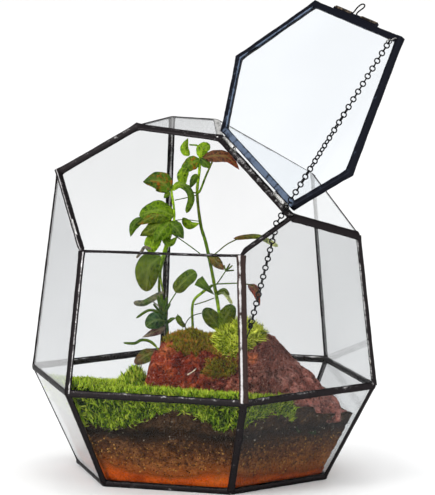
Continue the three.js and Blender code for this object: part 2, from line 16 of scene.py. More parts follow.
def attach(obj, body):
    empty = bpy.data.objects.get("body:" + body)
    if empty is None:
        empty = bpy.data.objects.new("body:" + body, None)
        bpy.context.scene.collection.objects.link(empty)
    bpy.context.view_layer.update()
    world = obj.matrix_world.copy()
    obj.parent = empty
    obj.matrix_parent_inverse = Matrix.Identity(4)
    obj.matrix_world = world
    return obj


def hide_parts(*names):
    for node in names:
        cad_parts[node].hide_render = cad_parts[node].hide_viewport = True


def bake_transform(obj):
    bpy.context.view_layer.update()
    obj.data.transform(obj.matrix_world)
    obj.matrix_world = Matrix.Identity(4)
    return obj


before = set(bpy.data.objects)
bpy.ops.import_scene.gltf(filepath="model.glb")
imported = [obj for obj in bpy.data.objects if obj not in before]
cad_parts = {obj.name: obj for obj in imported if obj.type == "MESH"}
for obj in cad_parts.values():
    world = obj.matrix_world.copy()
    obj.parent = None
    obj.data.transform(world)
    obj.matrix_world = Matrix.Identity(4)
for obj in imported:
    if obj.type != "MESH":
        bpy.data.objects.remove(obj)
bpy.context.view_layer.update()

# The jar's axis stands this far left of the row frame's origin
JAR_X = -6.63857554518431

# Camera: its place in the row frame, in metres, its angles and its focal length
CAMERA_PLACE = Vector((0.60963, -2.04259, 0.38596))
CAMERA_AZIMUTH = math.radians(16.5471)
CAMERA_ELEVATION = math.radians(6.5669)
CAMERA_ROLL = math.radians(0.6358)
CAMERA_LENS = 252.69
# The way from the jar to the camera, which the chain's links are turned by
TOWARD_CAMERA = Vector((0.283, -0.952, 0.114))

# Jar body, with the planes and corners of the CAD
WAIST_RADIUS = 110
BASE_RADIUS = 80
WAIST_ABOVE_BASE = 58
WALL_LEAN = math.radians(6.2)
SEAM_WIDTH = 4.2
GLASS = 2
BASE_HEIGHT = SEAM_WIDTH / 2
WAIST_HEIGHT = BASE_HEIGHT + WAIST_ABOVE_BASE
PANE_INSET = 0.8
ROOF = {"opening": (184.2, 0.03, 0.462), "right": (201.6, -0.527, 0.01), "back": (195.1, -0.03, 0.19)}

# Lid, hinges, latch and chain. The lid's frame is a channel of this width and height.
LID_LIFT = 4.2
LID_INSET = 3.2
LID_FRAME = (4.2, 4)
# How far the middle of each side of the lid's frame lies inside the opening's outline
LID_FRAME_INSETS = [3.7, 2.9, 2.8, 4.0, 3.6, 3.7]
LID_OPEN_ANGLE = math.radians(144)
HINGE = {"outset": 0.4, "radius": 1.45, "bore": 0.75, "pin": 0.5, "length": 16, "leg_reach": 9.5}
HINGE_PLACES = {"back": 0.14, "front": 0.85}
LATCH = {"radius": 1, "bore": 0.68, "wire": 0.46, "centre": 0.45, "mouth": 6.1, "length": 18.4}
LATCH_LOOP = [(-9.5, 0), (-7.4, 0), (-6.2, 0), (-5.4, 0), (-4.6, 1.4), (-4.3, 5), (-2.6, 7.8), (0.4, 8.2),
              (1.6, 6.4), (-0.6, 2.6), (-0.4, 0.4), (2.4, 0), (5, 0), (9.5, 0)]
CATCH = {"start": 0.18, "end": 0.35, "standoff": 2.75, "wire": 0.45}
EYE = {"ring": 1.6, "wire": 0.4}
CHAIN = {"link": 1.6, "wire": 0.43, "pitch": 2.8, "rim_share": 0.21, "clearance": 3.8}
ANCHOR = {"height": 104.8, "foot": 93, "from_post": 9.2, "from_pane": 3.2}

# Ground. Each station of the rock is its x, its top and its half width. The mound is its middle and its
# half sizes.
SOIL_TOP = 32
MOSS_HEIGHT = 51.8
MOSS_SLOPE_Y = -0.16
LAYER_INSET = 2.75
ROCK_CENTRE_Y = -2
ROCK_BOTTOM = 38.3
ROCK_STATIONS = [(-35, 46, 9), (-31, 63, 19), (-27, 79, 27), (-20, 84, 30), (-8, 87, 34), (10, 84, 36),
                 (34, 84, 34), (41, 88, 33), (46, 86, 32), (52, 80, 29), (58, 73, 27), (64, 66, 26),
                 (76, 58, 22), (84, 51, 16), (91, 43, 8)]
MOUND = ((26, -4, 81), (14, 19, 13))
# Moss on the rock, as the middle and the half sizes of each patch
ROCK_MOSS = [((-3, -13, 86), (13, 22, 11)), ((-15, 0, 85), (12, 14, 6)), ((18, -21, 85), (14, 10, 8)),
             ((21, -33, 71), (12, 9, 6))]
# Bright orange places on the rock, each with its reach
ROCK_ORANGE = [((-16, -21, 82), 11), ((10, -36, 69), 6), ((18, -38, 65), 5), ((40, -28, 78), 6)]
TUFT = {"x": -42, "y": -4, "height": 13}
MOSS_HOLLOW = 3.6
TOP_BLADES = 37000
SIDE_BLADES = 17000
MOUND_BLADES = 5200
ROCK_BLADES = 12000
# The moss stops short from this far below azimuth 0 to this far above it, in degrees, and is this much
# lower there
BARE_SIDE = (39, 66)
BARE_DEPTH = 17
# Radii at which the moss by the glass is taken for its foot and for its top
FOOT_RADIUS = 95
EDGE_RADIUS = 100
# How far the bed under the blades lies inside the earth's sides, and below the carpet's top
BED_INSET = 1.8
BED_DEPTH = 1.2

# Edges seen through the glass, as (azimuth in degrees, height): the foot of the moss and the top of the clay
MOSS_FOOT = [(-180, 42), (-150, 42), (-128, 40), (-120, 39), (-112, 38), (-105, 39), (-98, 44), (-90, 49),
             (-83, 52), (-77, 51), (-72, 46), (-65, 40), (-60, 43), (-52, 48), (-45, 51), (-38, 47),
             (-33, 43), (-28, 46), (-24, 50), (-19, 45), (-13, 43), (10, 41), (45, 46), (80, 42),
             (120, 45), (150, 41), (180, 42)]
CLAY_EDGE = [(-180, 15), (-150, 12), (-120, 17), (-113, 13), (-105, 9.5), (-92, 8.5), (-80, 10), (-70, 13),
             (-61, 15), (-54, 11), (-40, 9), (-20, 8.5), (0, 8), (40, 12), (80, 9), (130, 13), (180, 15)]

# Solder beads: the points round a bead and the steps along it, and how far a mitre keeps a corner clear
BEAD_SIDES = 24
BEAD_STEP = 1.3
MITRE = 2.6
# Widths and thicknesses of the beads
BASE_BEAD = (3.4, 4.2)
WAIST_BEAD = (2.9, 4.5)
LOWER_BEAD = (4.6, 2.6)
LEFT_LOWER_BEAD = (4.6, 1.6)
RIM_BEAD = (4.6, 2.2)
SHOULDER_BAR = (6.2, 3.2)
SHOULDER_LINE = (1.3, 2.5)
RIDGE_BEAD = (4.4, 1.6)
# How far the rim's front bar sinks at its right, and how far below the rim the front post ends, the one with
# the lighter metal and painted highlight
RIM_SINK = 1.5
POST_DROP = 1.3
# Width, thickness, distance inward and painted highlight streak of a corner post, and of those that differ.
# A pair of strengths is for the highlight's foot and its top.
PLAIN_POST = (4.6, 2, 0, (115, 16, 0.14))
POSTS = {"front_right": (5.4, 3.2, 0, (118, 13, 0.6)), "front_left": (5.0, 2.4, 0, (40, 14, 0.34)),
         "left": (4.4, 3.2, 0.4, (335, 30, (0.3, 0.02))), "back_left": (4.6, 2, 0, (262, 15, (0.2, 0.7))),
         "back_right": (4.6, 2, 0, (262, 15, 0.14)), "right": (4.6, 3.2, -0.3, (190, 20, 0.3))}
# Painted highlight streaks along each side of the opening's rim and of the lid's frame, in the order of
# MOUTH
RIM_HIGHLIGHTS = ((70, 25, (0.16, 0.14, 0.12, 0.12, 0.14, 0.1)), (90, 60, (0, 0, 0.15, 0, 0, 0)),
               (35, 11, (0, 0, 0, 0, 0, 0.55)))
LID_HIGHLIGHTS = ((206, 20, (0.25, 0.05, 0.1, 0.4, 0.5, 0.16)), (262, 50, (0.1, 0.1, 0.42, 0.14, 0.03, 0.02)))

SIDES = ["front", "front_right", "back_right", "back", "back_left", "front_left"]
CORNERS = ["front_left", "front_right", "right", "back_right", "back_left", "left"]

# Shades of the clay and of the two ends of the rock, from dark to light
CLAY_SHADES = ((0.42, 0.05, 0.002), (0.85, 0.12, 0.005), (0.95, 0.2, 0.015))
ROCK_REDS = ((0.07, 0.006, 0.005), (0.27, 0.03, 0.01), (0.62, 0.12, 0.03))
ROCK_PINKS = ((0.06, 0.018, 0.014), (0.22, 0.07, 0.05), (0.4, 0.2, 0.16))


# ---------------------------------------------------------------- shader nodes

class Shader:
    """A node material with one Principled shader, and short names for the nodes that feed it."""

    def __init__(self, name, **sockets):
        self.material = bpy.data.materials.new(name)
        self.material.use_nodes = True
        self.tree = self.material.node_tree
        self.surface = self.tree.nodes["Principled BSDF"]
        self.output = self.tree.nodes["Material Output"]
        for socket, value in sockets.items():
            self.surface.inputs[socket.replace("_", " ")].default_value = value

    def add(self, kind, **inputs):
        made = self.tree.nodes.new(kind)
        for socket, value in inputs.items():
            self.feed(made, socket.replace("_", " "), value)
        return made

    def feed(self, to, socket, value):
        if isinstance(value, bpy.types.NodeSocket):
            self.tree.links.new(value, to.inputs[socket])
        else:
            to.inputs[socket].default_value = value

    def set(self, **inputs):
        for socket, value in inputs.items():
            self.feed(self.surface, socket.replace("_", " "), value)

    def place(self):
        return self.add("ShaderNodeTexCoord").outputs["Object"]

    def noise(self, size, detail=4, roughness=0.55):
        """Noise with features of about this many millimetres."""
        made = self.add("ShaderNodeTexNoise", Vector=self.place(), Scale=1000 / size, Detail=detail,
                        Roughness=roughness)
        return made.outputs["Fac"]

    def cells(self, size, feature="F1"):
        """Distance from the middle of the nearest cell, or from its edge, as a share of this many
        millimetres."""
        made = self.add("ShaderNodeTexVoronoi", Vector=self.place(), Scale=1000 / size)
        made.feature = feature
        return made.outputs["Distance"]

    def away(self, place, reach):
        """Distance from a place about the jar's axis, as a share of this many millimetres."""
        x, y, z = place
        made = self.add("ShaderNodeVectorMath")
        made.operation = "DISTANCE"
        self.feed(made, 0, self.place())
        self.feed(made, 1, ((x + JAR_X) / 1000, y / 1000, z / 1000))
        return self.maths("MULTIPLY", made.outputs["Value"], 1000 / reach)

    def along(self, axis, low, high):
        """How far along an axis of the row frame, as a share of the way between two places in metres."""
        reach = self.add("ShaderNodeSeparateXYZ", Vector=self.place()).outputs[axis]
        return self.add("ShaderNodeMapRange", Value=reach, From_Min=low, From_Max=high).outputs[0]

    def ramp(self, value, *stops):
        """A colour or grey by value; each stop is (position, colour or number)."""
        made = self.add("ShaderNodeValToRGB", Fac=value)
        elements = made.color_ramp.elements
        while len(elements) < len(stops):
            elements.new(0.5)
        for element, (position, colour) in zip(elements, stops):
            element.position = position
            grey = not isinstance(colour, tuple)
            element.color = (colour, colour, colour, 1) if grey else (*colour, 1)
        return made.outputs["Color"]

    def mix(self, share, a, b, blend="MIX"):
        made = self.add("ShaderNodeMix")
        made.data_type = "RGBA"
        made.blend_type = blend
        self.feed(made, 0, share)
        for socket, value in ((6, a), (7, b)):
            self.feed(made, socket, (*value, 1) if isinstance(value, tuple) else value)
        return made.outputs[2]

    def paint(self, colour, value, start, end, over):
        """The colour with another one over it, by as much as a ramp of two stops says for this value."""
        return self.mix(self.ramp(value, start, end), colour, over)

    def maths(self, operation, a, b=0.0):
        made = self.add("ShaderNodeMath")
        made.operation = operation
        self.feed(made, 0, a)
        self.feed(made, 1, b)
        return made.outputs[0]

    def attribute(self, name, output="Fac"):
        made = self.add("ShaderNodeAttribute")
        made.attribute_name = name
        return made.outputs[output]

    def finish_with(self, share, other):
        """Mixes this share of another shader over the Principled one."""
        both = self.add("ShaderNodeMixShader")
        for place, value in enumerate((share, self.surface.outputs[0], other.outputs[0])):
            self.feed(both, place, value)
        self.feed(self.output, "Surface", both.outputs[0])

    def bump(self, height, distance):
        """Relief of this many millimetres."""
        made = self.add("ShaderNodeBump", Height=height, Distance=distance / 1000, Strength=1)
        self.set(Normal=made.outputs["Normal"])


def glass_material(name, face_on, between, edge_on, ior=1.17):
    """Clear glass, a little darker where it is looked through at a slant. It casts hardly any shadow."""
    shader = Shader(name, IOR=ior, Transmission_Weight=1)
    slant = shader.add("ShaderNodeLayerWeight", Blend=0.5).outputs["Facing"]
    tint = shader.ramp(slant, (0.05, face_on), (0.3, between), (0.8, edge_on))
    cloud = shader.ramp(shader.noise(110, detail=1), (0.42, 1.0), (0.62, 0.965))
    shader.set(Base_Color=shader.mix(1.0, tint, cloud, blend="MULTIPLY"))
    shader.set(Roughness=shader.ramp(shader.noise(38, detail=3), (0.4, 0.0), (0.75, 0.02)))
    clear = shader.add("ShaderNodeBsdfTransparent", Color=(0.96, 0.97, 0.97, 1))
    shadow = shader.add("ShaderNodeLightPath").outputs["Is Shadow Ray"]
    shader.finish_with(shadow, clear)
    return shader.material


def metal_material(name, dark, bright, wear_and_highlight, roughness, lump=0.12):
    """Dark patina over bright solder, which shows through in specks, and painted highlights along streaks.
    Its fourth argument is how much of the specks and the painted highlights shows."""
    shader = Shader(name, Metallic=1.0, Specular_Tint=(0.45, 0.45, 0.45, 1))
    patches = shader.noise(5, detail=6, roughness=0.65)
    speckle = shader.noise(0.9, detail=3, roughness=0.7)
    # Painted highlights: each bead's streak values raise the share of bright solder.
    specks_and_highlights = shader.maths("ADD", shader.mix(0.45, patches, speckle), shader.attribute("highlight"))
    share = shader.ramp(specks_and_highlights, (0.64 - wear_and_highlight, 0.0), (0.8 - wear_and_highlight, 1.0))
    shader.set(Base_Color=shader.mix(share, dark, bright))
    gloss = shader.ramp(shader.noise(2.2, detail=5), (0.3, roughness - 0.08), (0.7, roughness + 0.14))
    shader.set(Roughness=gloss)
    shader.bump(shader.mix(0.35, patches, speckle), lump)
    return shader.material


def clay_material():
    shader = Shader("clay", Roughness=0.9, Specular_IOR_Level=0.03)
    broad = shader.noise(14, detail=5)
    grain = shader.noise(1.3, detail=4, roughness=0.7)
    colour = shader.ramp(broad, *zip((0.3, 0.5, 0.72), CLAY_SHADES))
    colour = shader.paint(colour, grain, (0.36, 0.75), (0.52, 0.0), (0.12, 0.02, 0.004))
    colour = shader.paint(colour, grain, (0.6, 0.0), (0.72, 0.5), (0.85, 0.36, 0.14))
    soiled = shader.mix(0.4, shader.attribute("rise"), broad)
    shader.set(Base_Color=shader.paint(colour, soiled, (0.5, 0.0), (0.78, 0.85), (0.2, 0.06, 0.015)))
    shader.bump(grain, 0.5)
    return shader.material


def earth_material(name, heights, lower, upper, grit, below):
    """Crumbly earth whose three browns change between two heights, in metres, with grit of its own colours.
    At its foot it takes on the colour of the layer below."""
    shader = Shader(name, Roughness=0.9, Specular_IOR_Level=0.03)
    broad = shader.noise(9, detail=6, roughness=0.75)
    fine = shader.noise(1.9, detail=4, roughness=0.75)
    mixed = shader.mix(0.55, broad, fine)
    browns = [shader.ramp(mixed, *zip((0.4, 0.5, 0.62), three)) for three in (lower, upper)]
    colour = shader.mix(shader.along("Z", *heights), *browns)
    risen = shader.mix(0.4, shader.attribute("rise"), broad)
    colour = shader.paint(colour, risen, (0.17, 0.85), (0.38, 0.0), below)
    grain = shader.attribute("grit")
    stone = shader.ramp(grain, (0.0, upper[0]), (0.4, upper[1]), (0.7, grit[0]), (1.0, grit[1]))
    shader.set(Base_Color=shader.paint(colour, grain, (0.0, 0.0), (0.02, 1.0), stone))
    shader.bump(fine, 1.2)
    return shader.material


def rock_material():
    """Lava: dark red at its left and pinkish brown at its right, orange in places, with pores and cracks
    and painted glints. The pores and cracks are darkened as painted shade."""
    shader = Shader("lava_rock", Roughness=0.75, Specular_IOR_Level=0.12)
    broad = shader.noise(13, detail=8, roughness=0.7)
    grain = shader.noise(1.5, detail=5, roughness=0.75)
    reddish, pinkish = (shader.ramp(broad, *zip((0.32, 0.5, 0.7), three))
                        for three in (ROCK_REDS, ROCK_PINKS))
    colour = shader.mix(shader.along("X", 0.0, 0.04), reddish, pinkish)
    lighter = shader.mix(1.0, colour, (2.2, 2.2, 2.3), blend="MULTIPLY")
    colour = shader.mix(shader.along("X", 0.045, 0.07), colour, lighter)
    for place, reach in ROCK_ORANGE:
        off = shader.mix(0.4, shader.away(place, reach), broad)
        colour = shader.paint(colour, off, (0.4, 0.9), (0.7, 0.0), (0.66, 0.17, 0.05))
    # Painted shade: the pores, and further on the cracks, are darkened.
    pores = shader.cells(2.2)
    colour = shader.paint(colour, pores, (0.1, 0.9), (0.34, 0.0), (0.02, 0.003, 0.003))
    cracked = shader.maths("SUBTRACT", shader.noise(11, detail=7, roughness=0.6), 0.5)
    off_crack = shader.maths("ABSOLUTE", cracked)
    colour = shader.paint(colour, off_crack, (0.002, 0.8), (0.022, 0.0), (0.02, 0.004, 0.004))
    colour = shader.paint(colour, grain, (0.36, 0.7), (0.47, 0.0), (0.03, 0.006, 0.005))
    shader.set(Base_Color=shader.paint(colour, grain, (0.6, 0.0), (0.68, 0.9), (0.9, 0.55, 0.45)))
    relief = shader.mix(0.5, shader.ramp(pores, (0.1, 0.0), (0.45, 1.0)), grain)
    shader.bump(shader.paint(relief, off_crack, (0.0, 0.5), (0.03, 0.0), (0.0, 0.0, 0.0)), 1.8)
    return shader.material


def moss_material(name, shadow_colour, mid, tip, dry):
    """Fine blades: painted shade darkens them at the root, bright at the tip, each a little different."""
    shader = Shader(name, Roughness=0.6, Specular_IOR_Level=0.06)
    height = shader.attribute("height")
    shade = shader.attribute("shade")
    # Painted shade: dark towards the root, and dark patches standing for the gaps between clumps.
    colour = shader.ramp(height, (0.15, shadow_colour), (0.55, mid), (1.0, tip))
    patch = shader.noise(7, detail=3)
    mixed = shader.maths("ADD", shader.maths("MULTIPLY", patch, 0.7), shader.maths("MULTIPLY", shade, 0.45))
    colour = shader.paint(colour, mixed, (0.58, 0.0), (0.82, 0.85), dry)
    colour = shader.paint(colour, mixed, (0.36, 0.85), (0.52, 0.0), shadow_colour)
    blade = shader.add("ShaderNodeMapRange", Value=shade, To_Min=0.5, To_Max=1.35).outputs[0]
    colour = shader.mix(1.0, colour, blade, blend="MULTIPLY")
    shader.set(Base_Color=colour)
    shader.finish_with(0.3, shader.add("ShaderNodeBsdfTranslucent", Color=colour))
    return shader.material


def leaf_material():
    """Waxy leaves: each has its own tint, mottled, with a fine net, paler veins and on some red blotches."""
    shader = Shader("leaf", Specular_IOR_Level=0.12)
    tint = shader.attribute("tint", "Color")
    mottle = shader.noise(2.6, detail=4, roughness=0.65)
    darker = shader.mix(1.0, tint, (0.22, 0.3, 0.3), blend="MULTIPLY")
    lighter = shader.mix(1.0, tint, (2.5, 2.0, 1.5), blend="MULTIPLY")
    pale = shader.mix(0.4, lighter, (0.45, 0.55, 0.14))
    colour = shader.paint(tint, mottle, (0.36, 0.9), (0.5, 0.0), darker)
    colour = shader.paint(colour, mottle, (0.54, 0.0), (0.66, 0.6), lighter)
    net = shader.cells(3.2, "DISTANCE_TO_EDGE")
    colour = shader.paint(colour, net, (0.02, 0.65), (0.11, 0.0), lighter)
    blotch = shader.ramp(shader.noise(3, detail=5, roughness=0.65), (0.52, 0.0), (0.66, 0.9))
    blotched = shader.maths("MULTIPLY", blotch, shader.attribute("spots"))
    colour = shader.mix(blotched, colour, (0.36, 0.08, 0.006))
    vein = shader.attribute("vein")
    colour = shader.mix(shader.maths("MULTIPLY", vein, 0.5), colour, pale)
    shader.set(Base_Color=colour, Roughness=shader.ramp(mottle, (0.3, 0.3), (0.7, 0.55)))
    shader.bump(shader.maths("ADD", vein, mottle), 0.5)
    shader.finish_with(0.2, shader.add("ShaderNodeBsdfTranslucent", Color=colour))
    return shader.material


def floor_material():
    shader = Shader("floor", Roughness=0.7, Specular_IOR_Level=0.1)
    shader.set(Base_Color=shader.ramp(shader.noise(400, detail=2), (0.3, 0.945), (0.7, 0.955)))
    return shader.material


# ---------------------------------------------------------------- meshes

def placed(name, data):
    """A new object in the scene."""
    made = bpy.data.objects.new(name, data)
    bpy.context.scene.collection.objects.link(made)
    return made


def add_mesh(name, points, faces, material, node, slot, body="jar", smooth=True, values=None):
    """A piece from points in millimetres about the jar's axis, which stands for the CAD node and rides on
    its body. values holds numbers or colours, one for each point."""
    place = (np.asarray(points, float) + (JAR_X, 0, 0)) / 1000
    mesh = bpy.data.meshes.new(name)
    mesh.from_pydata(place.tolist(), [], faces)
    for key, numbers in (values or {}).items():
        numbers = np.asarray(numbers, np.float32)
        coloured = numbers.ndim == 2
        made = mesh.attributes.new(key, "FLOAT_COLOR" if coloured else "FLOAT", "POINT")
        made.data.foreach_set("color" if coloured else "value", numbers.ravel())
    mesh.polygons.foreach_set("use_smooth", [smooth] * len(mesh.polygons))
    mesh.materials.append(material)
    piece = placed(name, mesh)
    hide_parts(node)
    if body:
        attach(piece, body)
    return piece


def grid(rows, columns, rows_close=False, columns_close=False, flip=False, first=0):
    """Faces between neighbouring rows of points, the first of which has this number. The rows, or the
    points of each row, may close into a ring, and flip turns the faces over."""
    faces = []
    for i in range(rows if rows_close else rows - 1):
        here, ahead = first + i * columns, first + (i + 1) % rows * columns
        for j in range(columns if columns_close else columns - 1):
            k = (j + 1) % columns
            near, far = (ahead + j, here + k) if flip else (here + k, ahead + j)
            faces.append([here + j, near, ahead + k, far])
    return faces


def joined(parts):
    """One list of points and faces from several."""
    points, faces = [], []
    for part_points, part_faces in parts:
        first = len(points)
        points.extend(part_points)
        faces.extend([[first + i for i in face] for face in part_faces])
    return points, faces


def resampled(corners, closed, step, clear=0):
    """Points about one step apart along straight runs between corners, each corner kept.
    clear keeps this much of each run free beside its corners, for mitres."""
    ends = corners[1:] + corners[:1] if closed else corners[1:]
    route = []
    for here, there in zip(corners, ends):
        way = (there - here).normalized()
        run = (there - here).length - 2 * clear
        count = max(1, round(run / step))
        first, last = (0, count + 1) if clear else (1, count)
        route.append(here)
        route.extend(here + way * (clear + run * i / count) for i in range(first, last))
    return route if closed else route + [corners[-1]]


def softened(route, closed, rounds):
    """The route with its corners rounded by averaging; open ends stay."""
    for _ in range(rounds):
        last = len(route) - 1
        route = [
            p if not closed and i in (0, last) else (route[i - 1] + 2 * p + route[(i + 1) % len(route)]) / 4
            for i, p in enumerate(route)
        ]
    return route


def smooth_curve(knots, steps):
    """A Catmull-Rom curve through the knots, with this many steps between each two."""
    first, last = 2 * knots[0] - knots[1], 2 * knots[-1] - knots[-2]
    held = [first, *knots, last]
    route = []
    for a, b, c, d in zip(held, held[1:], held[2:], held[3:]):
        for i in range(steps):
            t = i / steps
            route.append(0.5 * (2 * b + (c - a) * t + (2 * a - 5 * b + 4 * c - d) * t * t
                                + (3 * b - a - 3 * c + d) * t ** 3))
    return route + [knots[-1]]


def sweep(route, outward, section, closed=False, mitred=False):
    """A skin over sections carried along the route. section(i) gives ring i as (across, outward) pairs.
    mitred keeps the width of a strip that turns sharp corners in its own plane."""
    count = len(route)
    side = None
    points = []
    for i, p in enumerate(route):
        before = route[i - 1] if closed or i else p
        after = route[(i + 1) % count] if closed or i + 1 < count else p
        way = (after - before).normalized()
        side = way.cross(outward if side is None else side.cross(way)).normalized()
        top = side.cross(way)
        stretch = 1 / max(0.6, way.dot((after - p).normalized())) if mitred and after != p else 1
        points.extend(p + side * a * stretch + top * b for a, b in section(i))
    ring = len(section(0))
    faces = grid(count, ring, rows_close=closed, columns_close=True)
    if not closed:
        faces.append(list(range(ring))[::-1])
        faces.append(list(range(len(points) - ring, len(points))))
    return points, faces


def oval(width, height, sides, squareness=1.0):
    """A section: round at squareness 1, and flatter-sided below it."""
    ring = []
    for s in range(sides):
        a = 2 * math.pi * (s + 0.5) / sides
        c, d = math.cos(a), math.sin(a)
        ring.append((width / 2 * math.copysign(abs(c) ** squareness, c),
                     height / 2 * math.copysign(abs(d) ** squareness, d)))
    return ring


def lumpy(route, corners, width, height, squareness=1.0, sides=14):
    """Sections of hand-run solder: a little uneven, and fuller where it meets a corner."""
    def section(i):
        p = route[i]
        nearest = min((p - c).length for c in corners)
        size = 1 + 0.07 * noise.noise(p / 9) + 0.03 * noise.noise(p / 2.5)
        size += 0.12 * math.exp(-((nearest / 3.5) ** 2))
        return [(a * size, b * size) for a, b in oval(width, height, sides, squareness)]
    return section


def painted_highlights(route, *highlights):
    """How much the painted highlight streaks show at each point of a swept bead. Each streak is its angle
    round the section and its span, in degrees, and its strength: one for the whole route, a pair for its
    start and end, or a list with one for each of its points."""
    values = np.zeros((len(route), BEAD_SIDES))
    for place, span, strengths in highlights:
        if not isinstance(strengths, list):
            ends = strengths if isinstance(strengths, tuple) else (strengths, strengths)
            strengths = np.linspace(*ends, len(route))
        for i, p in enumerate(route):
            along = strengths[i] * (0.75 + 0.5 * noise.noise(p / 11) + 0.35 * noise.noise(p / 3))
            for s in range(BEAD_SIDES):
                off = (360 * (s + 0.5) / BEAD_SIDES - place + 180) % 360 - 180
                values[i, s] += along * math.exp(-((off / span) ** 2))
    return values.ravel()


def by_side(route, corners, highlights):
    """Painted highlights with strengths given for each side, and the strength at each point of the route."""
    sides = np.cumsum([p in corners for p in route]) - 1
    return [(place, span, [strengths[side] for side in sides]) for place, span, strengths in highlights]


def add_bead(node, corners, outward, width, height, highlights, closed=False, material=None):
    """A bead of solder along the corners, flattened where it rests on the table."""
    route = softened(resampled(corners, closed, BEAD_STEP), closed, 1)
    section = lumpy(route, corners, width, height, 0.85, BEAD_SIDES)
    points, faces = sweep(route, outward, section, closed)
    points = [Vector((p.x, p.y, max(p.z, 0))) for p in points]
    # Painted highlights along the bead.
    values = {"highlight": painted_highlights(route, *highlights)}
    add_mesh(node + "_bead", points, faces, material or SOLDER, node, "solder", values=values)


def round_section(radius, sides):
    ring = oval(2 * radius, 2 * radius, sides)
    return lambda i: ring


def wire(knots, radius):
    return sweep(smooth_curve(knots, 6), Vector((0.31, 0.2, 0.93)), round_section(radius, 10))


def straight_wire(knots, radius):
    """A wire with tight bends at its inner knots."""
    route = softened(resampled(knots, False, 0.5), False, 3)
    return sweep(route, knots[1] - knots[-1], round_section(radius, 10))


def ring_wire(centre, across, over, radius, wire_radius, count=20):
    circle = [centre + across * radius * math.cos(a) + over * radius * math.sin(a)
              for a in (2 * math.pi * i / count for i in range(count))]
    return sweep(circle, across.cross(over), round_section(wire_radius, 8), closed=True)


def tube(start, end, radius, bore):
    """A short tube with an open bore and softened ends."""
    sides = 20
    edge = 0.2
    length = (end - start).length
    way = (end - start).normalized()
    side = way.orthogonal().normalized()
    top = way.cross(side)
    profile = [(bore, 0.05), (bore, length - 0.05), (bore + edge / 2, length), (radius - edge, length),
               (radius, length - edge), (radius, edge), (radius - edge, 0), (bore + edge / 2, 0)]
    points = []
    for s in range(sides):
        a = 2 * math.pi * s / sides
        out = side * math.cos(a) + top * math.sin(a)
        points.extend(start + way * z + out * r for r, z in profile)
    return points, grid(sides, len(profile), rows_close=True, columns_close=True, flip=True)


# ---------------------------------------------------------------- the jar's planes and corners

def plane(normal, place):
    normal = Vector(normal).normalized()
    return normal, normal.dot(Vector(place))


def meet(*planes):
    """The point where three planes meet."""
    rows = Matrix([normal for normal, _ in planes])
    return rows.inverted() @ Vector([reach for _, reach in planes])


def ring_point(radius, azimuth, height):
    return Vector((radius * math.cos(azimuth), radius * math.sin(azimuth), height))


EDGE_SHARE = math.cos(math.pi / 6)
FLARE = math.atan((WAIST_RADIUS - BASE_RADIUS) * EDGE_SHARE / WAIST_ABOVE_BASE)
SIDE_AZIMUTHS = [math.radians(60 * k - 90) for k in range(6)]
CORNER_AZIMUTHS = [math.radians(60 * k - 120) for k in range(6)]


def side_plane(azimuth, tilt):
    normal = (math.cos(azimuth) * math.cos(tilt), math.sin(azimuth) * math.cos(tilt), math.sin(tilt))
    return plane(normal, ring_point(WAIST_RADIUS * EDGE_SHARE, azimuth, WAIST_HEIGHT))


def roof_plane(height, slope_x, slope_y):
    return plane((-slope_x, -slope_y, 1), (0, 0, BASE_HEIGHT + height))


WALLS = [side_plane(a, WALL_LEAN) for a in SIDE_AZIMUTHS]
LOWERS = [side_plane(a, -FLARE) for a in SIDE_AZIMUTHS]
OPENING = roof_plane(*ROOF["opening"])
RIGHT = roof_plane(*ROOF["right"])
BACK = roof_plane(*ROOF["back"])
UP = OPENING[0]

BASE = [ring_point(BASE_RADIUS, a, BASE_HEIGHT) for a in CORNER_AZIMUTHS]
WAIST = [ring_point(WAIST_RADIUS, a, WAIST_HEIGHT) for a in CORNER_AZIMUTHS]
TOP_PLANES = [OPENING, OPENING, RIGHT, RIGHT, BACK, OPENING]
TOPS = [meet(roof, WALLS[k - 1], WALLS[k]) for k, roof in enumerate(TOP_PLANES)]
RIM_RIGHT = meet(OPENING, RIGHT, WALLS[1])
RIM_BACK = meet(OPENING, BACK, WALLS[4])
APEX = meet(OPENING, RIGHT, BACK)
RIDGE_END = meet(RIGHT, BACK, WALLS[3])
MOUTH = [TOPS[0], TOPS[1], RIM_RIGHT, APEX, RIM_BACK, TOPS[5]]

FRONT_INWARD = UP.cross(MOUTH[1] - MOUTH[0]).normalized()

HINGE_ALONG = (RIM_RIGHT - APEX).normalized()
HINGE_OUT = UP.cross(HINGE_ALONG)
HINGE_START = APEX + UP * LID_LIFT + HINGE_OUT * HINGE["outset"]
LID_TURN = (Matrix.Translation(HINGE_START) @ Matrix.Rotation(-LID_OPEN_ANGLE, 4, HINGE_ALONG)
            @ Matrix.Translation(-HINGE_START))


def opened(skin):
    """A lid piece drawn closed, turned to where the open lid is."""
    points, faces = skin
    return [LID_TURN @ p for p in points], faces


def inset(corners, distances):
    """A flat outline with each side moved inward in its own plane, by one distance or one for each side."""
    count = len(corners)
    if not isinstance(distances, (list, tuple)):
        distances = [distances] * count
    normal = sum((a.cross(b) for a, b in zip(corners, corners[1:] + corners[:1])), Vector()).normalized()
    inward = [normal.cross(corners[(i + 1) % count] - corners[i]).normalized() for i in range(count)]
    moved = []
    for i, here in enumerate(corners):
        before, after = inward[i - 1], inward[i]
        near, far = distances[i - 1], distances[i]
        slant = before.dot(after)
        step = before * (near - far * slant) + after * (far - near * slant)
        moved.append(here + step / (1 - slant * slant))
    return moved, normal


def plate(corners, distance, lift=0):
    """A flat pane with slightly eased edges."""
    ease = 0.15
    half = GLASS / 2
    points = []
    for shrink, height in ((ease, -half), (0, ease - half), (0, half - ease), (ease, half)):
        outline, normal = inset(corners, distance + shrink)
        points.extend(p + normal * (lift + height) for p in outline)
    count = len(corners)
    caps = [list(range(count))[::-1], list(range(3 * count, 4 * count))]
    return points, caps + grid(4, count, columns_close=True)


# ---------------------------------------------------------------- glass and metal

